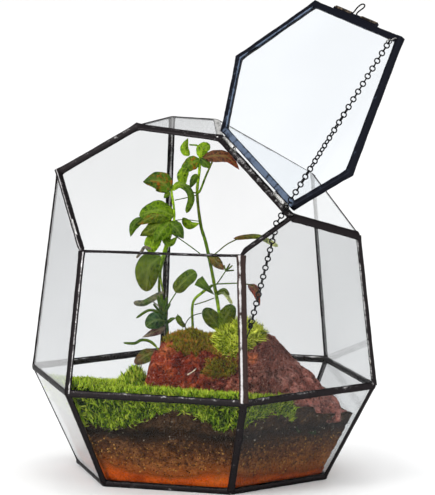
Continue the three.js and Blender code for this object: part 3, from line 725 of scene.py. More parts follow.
def add_panes():
    outlines = {"base_pane": BASE[::-1]}
    tall = {
        "front": [WAIST[0], WAIST[1], TOPS[1], TOPS[0]],
        "front_right": [WAIST[1], WAIST[2], TOPS[2], RIM_RIGHT, TOPS[1]],
        "back_right": [WAIST[2], WAIST[3], TOPS[3], TOPS[2]],
        "back": [WAIST[3], WAIST[4], TOPS[4], RIDGE_END, TOPS[3]],
        "back_left": [WAIST[4], WAIST[5], TOPS[5], RIM_BACK, TOPS[4]],
        "front_left": [WAIST[5], WAIST[0], TOPS[0], TOPS[5]],
    }
    for k, side in enumerate(SIDES):
        n = (k + 1) % 6
        outlines["lower_pane_" + side] = [BASE[k], BASE[n], WAIST[n], WAIST[k]]
        outlines["wall_pane_" + side] = tall[side]
    outlines["roof_pane_right"] = [APEX, RIM_RIGHT, TOPS[2], TOPS[3], RIDGE_END]
    outlines["roof_pane_back"] = [APEX, RIDGE_END, TOPS[4], RIM_BACK]
    # These panes take darker or lighter copies of the glass, as painted reflection.
    pane_shading = {
        "roof_pane_right": ROOF_GLASS,
        "wall_pane_front_left": SHADED_GLASS,
        "lower_pane_front_left": SHADED_GLASS,
        "wall_pane_front_right": RIGHT_GLASS,
        "wall_pane_back_right": FAR_GLASS,
    }
    for node, corners in outlines.items():
        skin = plate(corners, PANE_INSET)
        add_mesh(node + "_glass", *skin, pane_shading.get(node, CLEAR_GLASS), node, "glass", smooth=False)
    lid = plate(MOUTH, LID_INSET + 0.6, LID_LIFT)
    add_mesh("lid_pane_glass", *opened(lid), LID_GLASS, "lid_pane", "glass", body="lid", smooth=False)


def between(p, q):
    """The way out halfway between two planes."""
    return (p[0] + q[0]).normalized()


def add_seams():
    # Each bead's last list holds its painted highlight streaks.
    add_bead("base_ring", BASE, Vector((0, 0, -1)), *BASE_BEAD, [(150, 25, 0.1)], closed=True)
    add_bead("waist_ring", WAIST, Vector((0, 0, 1)), *WAIST_BEAD, [(40, 34, 0.165), (140, 22, 0.22)],
             closed=True)
    add_rim()
    add_shoulder()
    add_bead("roof_ridge", [RIDGE_END, APEX], between(RIGHT, BACK), *RIDGE_BEAD, [(60, 22, 0.12)],
             material=TUBE_METAL)
    for k, corner in enumerate(CORNERS):
        width, height, depth, highlight = POSTS.get(corner, PLAIN_POST)
        # The front right post takes a lighter copy of the solder, painted sheen, and a strong painted
        # highlight.
        lit_front_post = corner == "front_right"
        top = TOPS[k] - Vector((0, 0, POST_DROP)) if lit_front_post else TOPS[k]
        outward = between(WALLS[k - 1], WALLS[k])
        ends = [end - outward * depth for end in (WAIST[k], top)]
        add_bead("corner_post_" + corner, ends, outward, width, height, [highlight],
                 material=LIT_POST_METAL if lit_front_post else SOLDER)
        lower = LEFT_LOWER_BEAD if corner == "left" else LOWER_BEAD
        add_bead("lower_seam_" + corner, [BASE[k], WAIST[k]], between(LOWERS[k - 1], LOWERS[k]), *lower,
                 [(122, 16, 0.03)])


def add_shoulder():
    """The band round the fixed roof: a thick bar at the front right and a thin line along the rest."""
    front = [RIM_RIGHT, TOPS[2]]
    rear = [TOPS[2], TOPS[3], RIDGE_END, TOPS[4], RIM_BACK]
    parts = []
    for corners, size in ((front, SHOULDER_BAR), (rear, SHOULDER_LINE)):
        route = softened(resampled(corners, False, BEAD_STEP), False, 1)
        parts.append(sweep(route, between(RIGHT, WALLS[1]), lumpy(route, front, *size)))
    add_mesh("shoulder_band_bead", *joined(parts), SOLDER, "shoulder_band", "solder")


def add_rim():
    """The strip round the opening. Its front side is a thin bar that sinks a little to the right."""
    route = resampled(MOUTH, True, BEAD_STEP, clear=MITRE)
    whole = lumpy(route, MOUTH, *RIM_BEAD, 0.75, BEAD_SIDES)
    in_front = [1 - eased((p - MOUTH[0]).dot(FRONT_INWARD) / 5) for p in route]
    sunk = [p - Vector((0, 0, RIM_SINK)) * share * eased((p - MOUTH[0]).length / 90)
            for p, share in zip(route, in_front)]

    def section(i):
        size = 1 - 0.5 * in_front[i]
        return [(a * size, b * size) for a, b in whole(i)]

    skin = sweep(sunk, UP, section, closed=True, mitred=True)
    # Painted highlights along the rim's sides.
    values = {"highlight": painted_highlights(route, *by_side(route, MOUTH, RIM_HIGHLIGHTS))}
    add_mesh("opening_rim_bead", *skin, SOLDER, "opening_rim", "solder", values=values)


def add_lid():
    corners = [p + UP * LID_LIFT for p in inset(MOUTH, LID_FRAME_INSETS)[0]]
    route = resampled(corners, True, 0.8, clear=MITRE)
    section = lumpy(route, corners, *LID_FRAME, 0.4, BEAD_SIDES)
    skin = sweep(route, UP, section, closed=True, mitred=True)
    latch_plate = sweep([latch_point(along, -1.5) for along in range(-26, 27, 2)], UP,
                        lambda i: oval(3.4, 1.1, BEAD_SIDES, squareness=0.5))
    # Painted highlights along the frame's sides, none on the latch plate.
    highlight = painted_highlights(route, *by_side(route, corners, LID_HIGHLIGHTS))
    values = {"highlight": np.append(highlight, np.zeros(len(latch_plate[0])))}
    skin = joined([skin, latch_plate])
    add_mesh("lid_frame_channel", *opened(skin), CHANNEL, "lid_frame", "solder", body="lid", values=values)


def add_hinges():
    for name, share in HINGE_PLACES.items():
        rim = APEX.lerp(RIM_RIGHT, share)
        centre = rim + UP * LID_LIFT + HINGE_OUT * HINGE["outset"]
        half = HINGE_ALONG * HINGE["length"] / 2
        skin = tube(centre - half, centre + half, HINGE["radius"], HINGE["bore"])
        node = "hinge_tube_" + name
        add_mesh(node + "_metal", *opened(skin), TUBE_METAL, node, "wire", body="lid")
        to_rim = (rim - centre).normalized()
        leg = (rim - centre).length - SEAM_WIDTH / 2
        knees = [centre + HINGE_ALONG * way * HINGE["leg_reach"] for way in (-1, 1)]
        feet = [knee + to_rim * leg for knee in knees]
        node = "hinge_pin_" + name
        skin = straight_wire([feet[0], *knees, feet[1]], HINGE["pin"])
        add_mesh(node + "_wire", *skin, WIRE_METAL, node, "wire")


LATCH_ALONG = (TOPS[0] - TOPS[5]).normalized()
LATCH_OUT = LATCH_ALONG.cross(UP).normalized()


def latch_point(along, out):
    middle = TOPS[5].lerp(TOPS[0], LATCH["centre"]) + UP * LID_LIFT
    axis_out = -(LID_INSET - LID_FRAME[0] / 2) + 0.3 + LATCH["radius"]
    return middle + LATCH_ALONG * along + LATCH_OUT * (axis_out + out)


def add_latch():
    for name, way in (("left", -1), ("right", 1)):
        ends = [latch_point(way * reach, 0) for reach in (LATCH["mouth"], LATCH["mouth"] + LATCH["length"])]
        node = "latch_tube_" + name
        skin = tube(*ends, LATCH["radius"], LATCH["bore"])
        add_mesh(node + "_metal", *opened(skin), LATCH_METAL, node, "solder", body="lid")
    loop = wire([latch_point(*knot) for knot in LATCH_LOOP], LATCH["wire"])
    add_mesh("latch_loop_wire", *opened(loop), LOOP_WIRE, "latch_loop", "wire", body="latch_loop")

    standoff = (UP + LATCH_OUT * 0.2).normalized()
    feet = [TOPS[0].lerp(TOPS[5], CATCH[end]) for end in ("start", "end")]
    knees = [foot + standoff * CATCH["standoff"] for foot in feet]
    legs = [foot + standoff * 1.0 for foot in feet]
    skin = straight_wire([legs[0], *knees, legs[1]], CATCH["wire"])
    add_mesh("rim_catch_wire", *skin, BRIGHT_WIRE, "rim_catch", "wire")


def lid_corner():
    """The lid's corner over the front post: its place and the way into the lid."""
    to_left = (TOPS[5] - TOPS[0]).normalized()
    to_right = (TOPS[1] - TOPS[0]).normalized()
    inward = (to_left + to_right).normalized()
    return TOPS[0] + UP * LID_LIFT + inward * LID_INSET / math.sin(to_left.angle(to_right) / 2), inward


CORNER, CORNER_IN = lid_corner()
EYE_CENTRE = CORNER + CORNER_IN * 5.8 - UP * 3.6
PANE_ALONG = (WAIST[2] - WAIST[1]).normalized()
PANE_INWARD = -WALLS[1][0]


def on_post(height):
    return WAIST[1].lerp(TOPS[1], (height - WAIST_HEIGHT) / (TOPS[1].z - WAIST_HEIGHT))


ANCHOR_CENTRE = (on_post(ANCHOR["height"]) + PANE_ALONG * ANCHOR["from_post"]
                 + PANE_INWARD * ANCHOR["from_pane"])


def add_eye_and_anchor():
    stem = wire([CORNER + CORNER_IN - UP * 1.5, CORNER + CORNER_IN * 1.6 - UP * 3.2,
                 EYE_CENTRE - CORNER_IN * EYE["ring"]], EYE["wire"])
    eye = joined([ring_wire(EYE_CENTRE, CORNER_IN, UP, EYE["ring"], EYE["wire"]), stem])
    add_mesh("chain_eye_wire", *opened(eye), WIRE_METAL, "chain_eye", "wire", body="lid")

    up = Vector((0, 0, 1))
    foot = on_post(ANCHOR["foot"]) + PANE_ALONG * 1.6 + PANE_INWARD * 1.6
    knee = on_post(ANCHOR["foot"] + 3) + PANE_ALONG * 4.5 + PANE_INWARD * 3
    stem = wire([foot, knee, ANCHOR_CENTRE - up * EYE["ring"]], EYE["wire"])
    anchor = joined([ring_wire(ANCHOR_CENTRE, PANE_ALONG, up, EYE["ring"], EYE["wire"]), stem])
    add_mesh("chain_anchor_wire", *anchor, DARK_WIRE, "chain_anchor", "wire")


def add_chain():
    """Round links, each turned a quarter from the last, along the pulled chain's route over the rim."""
    lid_end = LID_TURN @ EYE_CENTRE
    rim = RIM_RIGHT.lerp(TOPS[1], CHAIN["rim_share"])
    rim_along = (TOPS[1] - RIM_RIGHT).normalized()
    ways = [(lid_end - rim).normalized(), (ANCHOR_CENTRE - rim).normalized()]
    pull = sum(((way - rim_along * way.dot(rim_along)).normalized() for way in ways), Vector()).normalized()
    bend = rim - pull * CHAIN["clearance"]
    upper, lower = lid_end - bend, ANCHOR_CENTRE - bend
    parts = []
    for run in (upper, lower):
        way = run.normalized()
        count = round(run.length / CHAIN["pitch"])
        side = way.cross(TOWARD_CAMERA).normalized()
        for i in range(run is lower, count + 1):
            centre = bend + run * i / count
            twist = 42 * math.exp(-((i / count - 0.4) / 0.14) ** 2) if run is upper else 12
            quarter = Matrix.Rotation(math.radians(90 * i + twist + 14 * noise.noise(centre / 6)), 3, way)
            parts.append(ring_wire(centre, way, quarter @ side, CHAIN["link"], CHAIN["wire"], count=14))
    chain = add_mesh("chain_links", *joined(parts), DARK_WIRE, "chain", "chain", body=None)
    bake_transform(chain)


# ---------------------------------------------------------------- ground

def wall_reach(azimuth, height):
    """How far the ground reaches from the axis in this direction at this height."""
    tilt = -FLARE if height < WAIST_HEIGHT else WALL_LEAN
    apothem = WAIST_RADIUS * EDGE_SHARE - (height - WAIST_HEIGHT) * math.tan(tilt)
    apothem -= LAYER_INSET / math.cos(tilt)
    off_side = (azimuth + math.radians(90) + math.pi / 6) % (math.pi / 3) - math.pi / 6
    return apothem / math.cos(off_side)


def by_azimuth(edge, azimuth):
    """Height of an edge given as (azimuth in degrees, height), eased between its points."""
    degrees = (math.degrees(azimuth) + 180) % 360 - 180
    i = min(bisect_right(edge, (degrees, 1e9)), len(edge) - 1)
    (a, low), (b, high) = edge[i - 1], edge[i]
    return low + (high - low) * eased((degrees - a) / (b - a))


def moss_foot(azimuth):
    """The height where the moss ends against the glass."""
    ragged = 1.6 * noise.noise(Vector((22 * math.cos(azimuth), 22 * math.sin(azimuth), 4)))
    highest = carpet_height(FOOT_RADIUS * math.cos(azimuth), FOOT_RADIUS * math.sin(azimuth)) - 3
    return min(by_azimuth(MOSS_FOOT, azimuth) + ragged, highest)


def wavy(height, swing, seed):
    """A height that waves round the jar, with ragged crumbs on its edge."""
    def at(azimuth):
        place = Vector((math.cos(azimuth), math.sin(azimuth), seed))
        z = height + swing * noise.noise(place * 3)
        return z + 1.3 * noise.noise(place * 19) + 0.8 * noise.noise(place * 50)
    return at


def grains(random, count, low, high, size, dullness):
    """Small crumbs and stones just inside the glass, as points, faces and a value for each point."""
    corners = np.array([(1, 0, 0), (-1, 0, 0), (0, 1, 0), (0, -1, 0), (0, 0, 1), (0, 0, -1)], float)
    sides = [(0, 2, 4), (2, 1, 4), (1, 3, 4), (3, 0, 4), (2, 0, 5), (1, 2, 5), (3, 1, 5), (0, 3, 5)]
    points, faces, values = [], [], []
    for _ in range(count):
        azimuth = random.uniform(-math.pi, math.pi)
        z = low(azimuth) + (high(azimuth) - low(azimuth)) * random.uniform(0.02, 0.98)
        radii = size * random.uniform(0.35, 1, 3) * random.choice([0.5, 0.7, 1])
        r = wall_reach(azimuth, z) - 0.1 - max(radii)
        turn, _ = np.linalg.qr(random.normal(0, 1, (3, 3)))
        first = len(points)
        place = np.array((r * math.cos(azimuth), r * math.sin(azimuth), z))
        points.extend(place + (corners * radii * random.uniform(0.7, 1.2, (6, 1))) @ turn)
        faces.extend([first + i for i in side] for side in sides)
        values.extend([0.05 + 0.95 * random.uniform() ** dullness] * 6)
    return points, faces, values


def add_layer(node, material, slot, low, high, rough, rows, stones, seed):
    """A slab of ground inside the glass, between two wavy heights, with crumbled sides.
    stones is how many, how large and how dull."""
    around = 700
    points = []
    for row in range(rows + 1):
        for k in range(around):
            azimuth = 2 * math.pi * k / around
            bottom, top = low(azimuth), high(azimuth)
            z = bottom + (top - bottom) * row / rows
            r = wall_reach(azimuth, z)
            r -= rough * (0.5 + 0.5 * noise.fractal(ring_point(r, azimuth, z) / 2.6, 1, 2, 3))
            points.append(ring_point(r, azimuth, z))
    faces = grid(rows + 1, around, columns_close=True)
    for ring, turn in ((0, -1), (rows * around, 1)):
        centre = len(points)
        points.append(sum((points[ring + k] for k in range(around)), Vector()) / around)
        for k in range(around):
            n = (k + 1) % around
            faces.append([ring + k, ring + n, centre][::turn])
    grit = [0.0] * len(points)
    rise = [row / rows for row in range(rows + 1) for _ in range(around)] + [0.5, 0.5]
    number, *kind = stones
    stone_points, stone_faces, stone_grit = grains(np.random.default_rng(seed), number, low, high, *kind)
    points, faces = joined([(points, faces), (stone_points, stone_faces)])
    values = {"grit": grit + stone_grit, "rise": rise + [0.5] * len(stone_grit)}
    add_mesh(node + "_ground", points, faces, material, node, slot, values=values)


def rock_profile(x):
    """Top and half width of the rock at this x."""
    xs, tops, halves = zip(*ROCK_STATIONS)
    return float(np.interp(x, xs, tops)), float(np.interp(x, xs, halves))


def rock_height(x, y):
    """Height of the plain rock over this place, or 0 beside it."""
    if not ROCK_STATIONS[0][0] < x < ROCK_STATIONS[-1][0]:
        return 0
    top, half = rock_profile(x)
    across = (y - ROCK_CENTRE_Y) / half
    if abs(across) >= 1:
        return 0
    return ROCK_BOTTOM + (top - ROCK_BOTTOM) * (1 - across * across) ** 0.35


def rock_skin():
    """Porous lava: the plain shape broken by ridges, hollows and pits, and the outward way at each point."""
    first, last = ROCK_STATIONS[0][0], ROCK_STATIONS[-1][0]
    columns, sides = 250, 150
    points, ways = [], []
    for i in range(columns + 1):
        x = first + (last - first) * i / columns
        top = sum(rock_profile(x + d)[0] for d in (-4, -2, 0, 2, 4)) / 5
        half = sum(rock_profile(x + d)[1] for d in (-4, -2, 0, 2, 4)) / 5
        for s in range(sides + 1):
            a = math.pi * s / sides
            lift = math.sin(a) ** 0.7
            p = Vector((x, ROCK_CENTRE_Y + half * math.cos(a), ROCK_BOTTOM + (top - ROCK_BOTTOM) * lift))
            out = Vector((0.25 * (x - 20) / 60, math.cos(a), max(lift, 0.15))).normalized()
            broad = 2.8 * noise.fractal(p / 14, 1, 2, 4)
            ridge = 2.2 * (0.5 - abs(noise.noise(p / 7 + Vector((3, 1, 5)))) * 2)
            near, _ = noise.voronoi(p / 3.2)
            pit = -1.5 * max(0, 0.42 - near[0]) / 0.42 * (noise.noise(p / 6) > -0.2)
            fine = 0.7 * noise.fractal(p / 1.7, 1, 2, 2)
            points.append(p + out * (broad + ridge + pit + fine) * min(1, 4 * lift))
            ways.append(out)
    row = sides + 1
    faces = grid(columns + 1, row)
    faces.append(list(range(row))[::-1])
    faces.append(list(range(columns * row, (columns + 1) * row)))
    return points, faces, ways


def eased(share):
    share = min(1, max(0, share))
    return share * share * (3 - 2 * share)


def bareness(x, y):
    """How bare the ground is here: the moss stops short of the jar's right corner."""
    azimuth = math.degrees(math.atan2(y, x))
    side = eased((azimuth + BARE_SIDE[0]) / 14) * eased((BARE_SIDE[1] - azimuth) / 14)
    return side * eased((math.hypot(x, y) - 50) / 28)


def carpet_height(x, y):
    """Top of the moss carpet: clumps, a tuft at the rock's left end, a dip before it, and low at the
    right."""
    place = Vector((x, y, 0))
    clumps = 1.5 * noise.noise(place / 17) + 2.0 * noise.noise(place / 6.5)
    tuft = TUFT["height"] * math.exp(-(((x - TUFT["x"]) / 7) ** 2) - ((y - TUFT["y"]) / 11) ** 2)
    hollow = MOSS_HOLLOW * eased(-(y + 5) / 25) * eased((x + 48) / 12)
    return MOSS_HEIGHT + MOSS_SLOPE_Y * y + clumps + tuft - hollow - BARE_DEPTH * bareness(x, y) - 1.2


def blades(random, roots, ways, length, width, lean, curl=0.35):
    """Many narrow blades: points, faces and their values. Each grows from a root, nearly along its way."""
    count = len(roots)
    ways = ways + random.normal(0, lean, (count, 3))
    ways /= np.linalg.norm(ways, axis=1, keepdims=True)
    side = np.cross(ways, random.normal(0, 1, (count, 3)))
    side /= np.linalg.norm(side, axis=1, keepdims=True)
    bend = np.cross(side, ways)
    reach = (length * random.uniform(0.55, 1.3, count))[:, None]
    half = (width / 2 * random.uniform(0.7, 1.3, count))[:, None]
    middle = roots + ways * reach * 0.55 + bend * reach * curl * 0.2
    tip = roots + ways * reach * 0.95 + bend * reach * curl
    near, far = side * half, side * half * 0.85
    corners = [roots - near, roots + near, middle + far, middle - far, tip]
    points = np.stack(corners, axis=1).reshape(-1, 3)
    first = np.arange(count)[:, None] * 5
    faces = (first + [0, 1, 2, 3]).tolist() + (first + [3, 2, 4]).tolist()
    values = {
        "height": np.tile([0, 0, 0.55, 0.55, 1], count),
        "shade": np.repeat(random.uniform(0, 1, count), 5),
    }
    return points, faces, values


def with_turf(bed, turf):
    """A bed of moss and its blades as one mesh."""
    bed_points, bed_faces = bed
    points, faces, values = turf
    first = len(bed_points)
    merged = np.concatenate([np.asarray(bed_points, float), points])
    faces = bed_faces + [[first + i for i in face] for face in faces]
    # The bed takes the root colour: painted shade under the blades.
    values = {
        "height": np.concatenate([np.full(first, 0.1), values["height"]]),
        "shade": np.concatenate([np.full(first, 0.3), values["shade"]]),
    }
    return merged, faces, values


def add_carpet():
    """The moss carpet: a bed that follows the glass, with blades over its top and against the panes."""
    around, rings, rows = 300, 40, 6
    points = []
    for k in range(around):
        azimuth = 2 * math.pi * k / around
        c, s = math.cos(azimuth), math.sin(azimuth)
        edge_top = carpet_height(EDGE_RADIUS * c, EDGE_RADIUS * s)
        foot = moss_foot(azimuth)
        for row in range(rows):
            z = foot + (edge_top - foot) * row / rows
            r = wall_reach(azimuth, z) - BED_INSET - 1.2 * noise.noise(Vector((26 * c, 26 * s, z / 4)))
            points.append(Vector((r * c, r * s, z)))
        for ring in range(rings):
            r = (wall_reach(azimuth, edge_top) - BED_INSET) * (1 - ring / rings)
            points.append(Vector((r * c, r * s, carpet_height(r * c, r * s) - BED_DEPTH)))
    faces = grid(around, rows + rings, rows_close=True, flip=True)
    random = np.random.default_rng(3)
    roots, ways = [], []
    while len(roots) < TOP_BLADES:
        x, y = random.uniform(-110, 110, 2)
        azimuth = math.atan2(y, x)
        z = carpet_height(x, y) - 0.9
        outside = math.hypot(x, y) > wall_reach(azimuth, z) - 0.8
        if outside or rock_height(x, y) > z + 1 or bareness(x, y) > 0.4:
            continue
        roots.append((x, y, z))
        ways.append((0, 0, 1))
    while len(roots) < TOP_BLADES + SIDE_BLADES:
        azimuth = random.uniform(-math.pi, math.pi)
        foot = moss_foot(azimuth)
        c, s = math.cos(azimuth), math.sin(azimuth)
        if bareness(FOOT_RADIUS * c, FOOT_RADIUS * s) > 0.4:
            continue
        top = carpet_height(EDGE_RADIUS * c, EDGE_RADIUS * s)
        z = random.uniform(foot - 0.8, top + 0.5)
        r = wall_reach(azimuth, z) - random.uniform(0.1, 2.0)
        roots.append((r * c, r * s, z))
        ways.append((0.1 * c, 0.1 * s, 0.7))
    turf = blades(random, np.array(roots), np.array(ways, float), length=4.6, width=0.8, lean=0.34)
    lit = turf[2]["height"][5 * TOP_BLADES:]
    lit[:] = 0.52 + 0.48 * lit
    points, faces, values = with_turf((points, faces), turf)
    add_mesh("moss_carpet_turf", points, faces, MOSS, "moss_carpet", "moss", smooth=False, values=values)


def add_moss_mound():
    """A spiky cushion over an egg that sits on the rock."""
    random = np.random.default_rng(5)
    centre, radii = Vector(MOUND[0]), Vector(MOUND[1])

    def on_egg(a, b):
        way = Vector((math.cos(a) * math.cos(b), math.sin(a) * math.cos(b), math.sin(b)))
        size = 1 + 0.26 * noise.noise(way * 3.1 + centre) + 0.1 * noise.noise(way * 8)
        return centre + Vector((way.x * radii.x, way.y * radii.y, way.z * radii.z)) * size, way

    around, rows = 60, 24
    points = []
    for row in range(rows + 1):
        b = math.pi * (row / rows - 0.5)
        points.extend(centre.lerp(on_egg(2 * math.pi * k / around, b)[0], 0.9) for k in range(around))
    faces = grid(rows + 1, around, columns_close=True)
    roots, ways = [], []
    while len(roots) < MOUND_BLADES:
        place, way = on_egg(random.uniform(0, 2 * math.pi), math.asin(random.uniform(-0.4, 1)))
        if place.z > rock_height(place.x, place.y) - 0.5:
            roots.append(place - way * 2.4)
            ways.append(way + Vector((0, 0, 0.4)))
    turf = blades(random, np.array(roots), np.array(ways), length=6.4, width=1.05, lean=0.5, curl=0.5)
    points, faces, values = with_turf((points, faces), turf)
    add_mesh("moss_mound_turf", points, faces, LIME_MOSS, "moss_mound", "moss", smooth=False, values=values)


def add_rock_moss(skin, skin_ways):
    """Thin brown-green moss rooted on the rock's own surface, sparser towards the edge of each patch."""
    random = np.random.default_rng(7)
    skin, skin_ways = np.array(skin), np.array(skin_ways)
    inside = np.full(len(skin), 9.0)
    for middle, halves in ROCK_MOSS:
        inside = np.minimum(inside, np.linalg.norm((skin - middle) / halves, axis=1))
    ragged = np.array([0.35 * noise.noise(Vector(p) / 4) for p in skin])
    chosen = np.flatnonzero(inside + ragged < 1)
    rows = random.choice(chosen, ROCK_BLADES)
    roots = skin[rows] + random.normal(0, 0.35, (len(rows), 3)) - skin_ways[rows] * 0.5
    ways = skin_ways[rows] + (0, 0, 0.2)
    points, faces, values = blades(random, roots, ways, length=2.6, width=0.6, lean=0.4)
    add_mesh("rock_moss_turf", points, faces, BROWN_MOSS, "rock_moss", "moss", smooth=False, values=values)


def add_ground():
    floor = BASE_HEIGHT + GLASS / 2 + 0.3
    soil_top = wavy(SOIL_TOP, 4, 9)

    def clay_top(azimuth):
        return by_azimuth(CLAY_EDGE, azimuth) + wavy(0, 1.6, 2)(azimuth)

    def moss_line(azimuth):
        bare = bareness(FOOT_RADIUS * math.cos(azimuth), FOOT_RADIUS * math.sin(azimuth))
        foot = moss_foot(azimuth)
        return foot + 1 + (by_azimuth(MOSS_FOOT, azimuth) - foot) * bare

    add_layer("clay_layer", CLAY, "clay", lambda a: floor, clay_top,
              rough=0.5, rows=12, stones=(500, 0.5, 1), seed=11)
    add_layer("soil_layer", SOIL, "soil", clay_top, soil_top,
              rough=1.5, rows=22, stones=(3600, 1.0, 1.5), seed=12)
    add_layer("charcoal_layer", CHARCOAL, "charcoal", soil_top, moss_line,
              rough=1.8, rows=16, stones=(3200, 0.8, 3), seed=13)
    points, faces, ways = rock_skin()
    add_mesh("lava_rock_stone", points, faces, ROCK, "lava_rock", "rock")
    add_carpet()
    add_moss_mound()
    add_rock_moss(points, ways)


# ---------------------------------------------------------------- plants

# Leaf and stem colours
OLIVE = (0.065, 0.092, 0.005)
GREEN = (0.062, 0.135, 0.005)
BRIGHT = (0.08, 0.165, 0.003)
LIME = (0.22, 0.4, 0.015)
DARK = (0.03, 0.075, 0.008)
BLUISH = (0.025, 0.07, 0.03)
RED_BROWN = (0.1, 0.04, 0.02)
RED = (0.19, 0.03, 0.012)
PURPLE = (0.07, 0.025, 0.03)
GREY = (0.16, 0.15, 0.13)
PALE = (0.42, 0.5, 0.25)
CREAM = (0.75, 0.7, 0.6)

# Each plant: stems as (points, radius at the root, radius at the end, colours along it), and leaves as
# (shape, points along the midrib, width, colours along it, fold, share of red blotches).
PLANTS = {}
PLANTS["tall_vine"] = {
    "stems": [
        ([(6, 18, 68), (6, 18, 94), (1, 21, 117), (-6, 27, 139), (-11, 31, 151), (-15, 36, 170),
          (-15, 40, 183), (-15, 41, 192)], 1.25, 0.9, [LIME, LIME, GREEN, GREEN, OLIVE, LIME, LIME]),
        ([(-15, 36, 170), (-13, 36, 172), (-10, 38, 181), (-6, 38, 190)], 0.8, 0.6, [LIME, GREEN, OLIVE]),
        ([(-15, 41, 191), (-16, 41, 199), (-22, 41, 200)], 0.7, 0.5, [LIME, BRIGHT]),
        ([(-15, 36, 170), (-19, 37, 171), (-21, 37, 175)], 0.5, 0.4, [OLIVE, BRIGHT]),
        ([(-15, 35, 169), (-19, 26, 168), (-24, 18, 167)], 0.35, 0.3, [OLIVE, GREEN]),
        ([(-12, 31, 153), (-21, 28, 154), (-25, 18, 154)], 0.3, 0.3, [GREEN, OLIVE]),
        ([(-5, 26, 131), (0, 23, 133), (11, 14, 141), (21, 4, 146)], 0.4, 0.4, [GREEN, OLIVE]),
        ([(1, 21, 116), (3, 20, 115), (12, 10, 125)], 0.5, 0.35, [GREEN, BRIGHT]),
        ([(1, 21, 115), (20, 8, 118), (29, -2, 119)], 0.45, 0.35, [GREEN, BRIGHT]),
        ([(29, -2, 119), (35, -5, 118), (39, -7, 112)], 0.4, 0.35, [OLIVE, RED_BROWN]),
    ],
    "leaves": [
        ("ovate", [(-22, 41, 193), (-25, 40, 198), (-23, 41, 204)], 5.5, [LIME, BRIGHT], 0.6, 0),
        ("round", [(-15, 41, 192), (-13, 40, 198), (-8, 40, 200)], 8, [LIME, BRIGHT], 0.3, 0),
        ("ovate", [(-13, 40, 192), (-4, 38, 194), (5, 37, 193), (12, 37, 186)], 8,
         [RED_BROWN, RED_BROWN, RED], 0.2, 0),
        ("ovate", [(-14, 39, 192), (-10, 38, 189), (-7, 38, 186)], 6, [DARK, GREEN], 0.3, 0),
        ("round", [(-15, 40, 191), (-19, 38, 189), (-26, 38, 184)], 9, [BRIGHT, GREEN], 0.2, 1),
        ("round", [(-22, 38, 187), (-25, 37, 181), (-24, 37, 175)], 7, [BRIGHT, LIME], 0.25, 0),
        ("ovate", [(-16, 38, 182), (-18, 37, 178), (-20, 37, 173)], 5, [GREEN, DARK], 0.3, 0),
        ("ovate", [(-22, 28, 155), (-17, 27, 151), (-11, 28, 152)], 5.5, [BRIGHT, LIME], 0.5, 0),
        ("ovate", [(-2, 22, 134), (4, 18, 129), (9, 16, 125)], 6.5, [OLIVE, RED_BROWN], 0.3, 0.3),
        ("strip", [(18, 6, 146), (27, 2, 148), (36, -3, 149), (43, -6, 147), (50, -8, 144)], 3.2,
         [RED_BROWN, OLIVE, PALE], 0.5, 0),
        *(("strip", [(12, 10, 125), tip], 1, [GREEN, OLIVE], 0, 0)
          for tip in ((11, 9, 129), (15, 9, 130), (17, 8, 129), (18, 8, 126))),
        ("ovate", [(30, -3, 119), (35, -5, 116), (39, -8, 107)], 5.5, [PURPLE, RED], 0.4, 0),
        ("strip", [(3, 20, 109), (8, 16, 111), (12, 12, 110), (17, 8, 105)], 2.6, [GREEN, PALE], 0.4, 0),
        ("strip", [(3, 20, 110), (10, 14, 113), (14, 11, 110)], 2.2, [GREEN, OLIVE], 0.4, 0),
    ],
}
PLANTS["left_vine"] = {
    "stems": [
        ([(-24, 6, 64), (-24, 6, 85), (-27, 8, 99), (-31, 10, 110), (-31, 12, 123), (-27, 14, 140),
          (-24, 17, 156), (-27, 20, 173)], 1.0, 0.8, [OLIVE, GREEN, OLIVE, GREEN, LIME, LIME]),
        ([(-27, 14, 144), (-30, 13, 133), (-31, 12, 120), (-28, 9, 109)], 0.6, 0.7, [BRIGHT, LIME, OLIVE]),
        ([(-26, 15, 147), (-20, 13, 144), (-13, 15, 139), (-8, 20, 134)], 0.35, 0.35, [OLIVE, GREEN]),
    ],
    "leaves": [
        ("ovate", [(-27, 19, 173), (-34, 16, 179), (-44, 15, 178)], 13, [GREEN, DARK], 0.2, 1),
        ("strip", [(-27, 20, 173), (-22, 20, 177), (-16, 20, 174), (-14, 20, 168), (-17, 20, 159)], 4.4,
         [LIME, DARK, BRIGHT], 0.5, 0),
        ("ovate", [(-28, 19, 172), (-31, 17, 168)], 3.4, [BRIGHT, GREEN], 0.3, 0),
        ("round", [(-24, 16, 157), (-33, 12, 161), (-45, 11, 157)], 14, [BRIGHT, BRIGHT], 0.15, 0),
        ("ovate", [(-25, 16, 156), (-33, 10, 158), (-45, 7, 152)], 9, [GREEN, OLIVE], 0.35, 0.7),
        ("ovate", [(-27, 15, 154), (-21, 12, 150), (-16, 11, 144)], 9, [GREEN, DARK], 0.4, 0),
        ("ovate", [(-27, 15, 155), (-34, 9, 151), (-43, 7, 145)], 11, [GREEN, OLIVE], 0.3, 0),
        ("ovate", [(-26, 14, 154), (-30, 8, 148), (-34, 8, 141)], 12, [BRIGHT, GREEN], 0.25, 0),
        ("ovate", [(-43, 10, 156), (-48, 9, 151), (-50, 9, 144)], 6, [DARK, GREEN], 0.4, 0),
        ("round", [(-32, 13, 147), (-36, 11, 141), (-37, 10, 134)], 10, [BRIGHT, LIME], 0.25, 0),
        ("ovate", [(-30, 12, 145), (-25, 11, 141), (-20, 11, 145)], 5, [GREEN, BRIGHT], 0.4, 0),
        ("strip", [(-36, 8, 137), (-40, 7, 138), (-42, 6, 135), (-45, 6, 131)], 2, [GREY, GREY], 0.5, 0),
        ("round", [(-31, 13, 132), (-38, 9, 125), (-39, 8, 110)], 16, [GREEN, OLIVE], 0.15, 0.1),
    ],
}
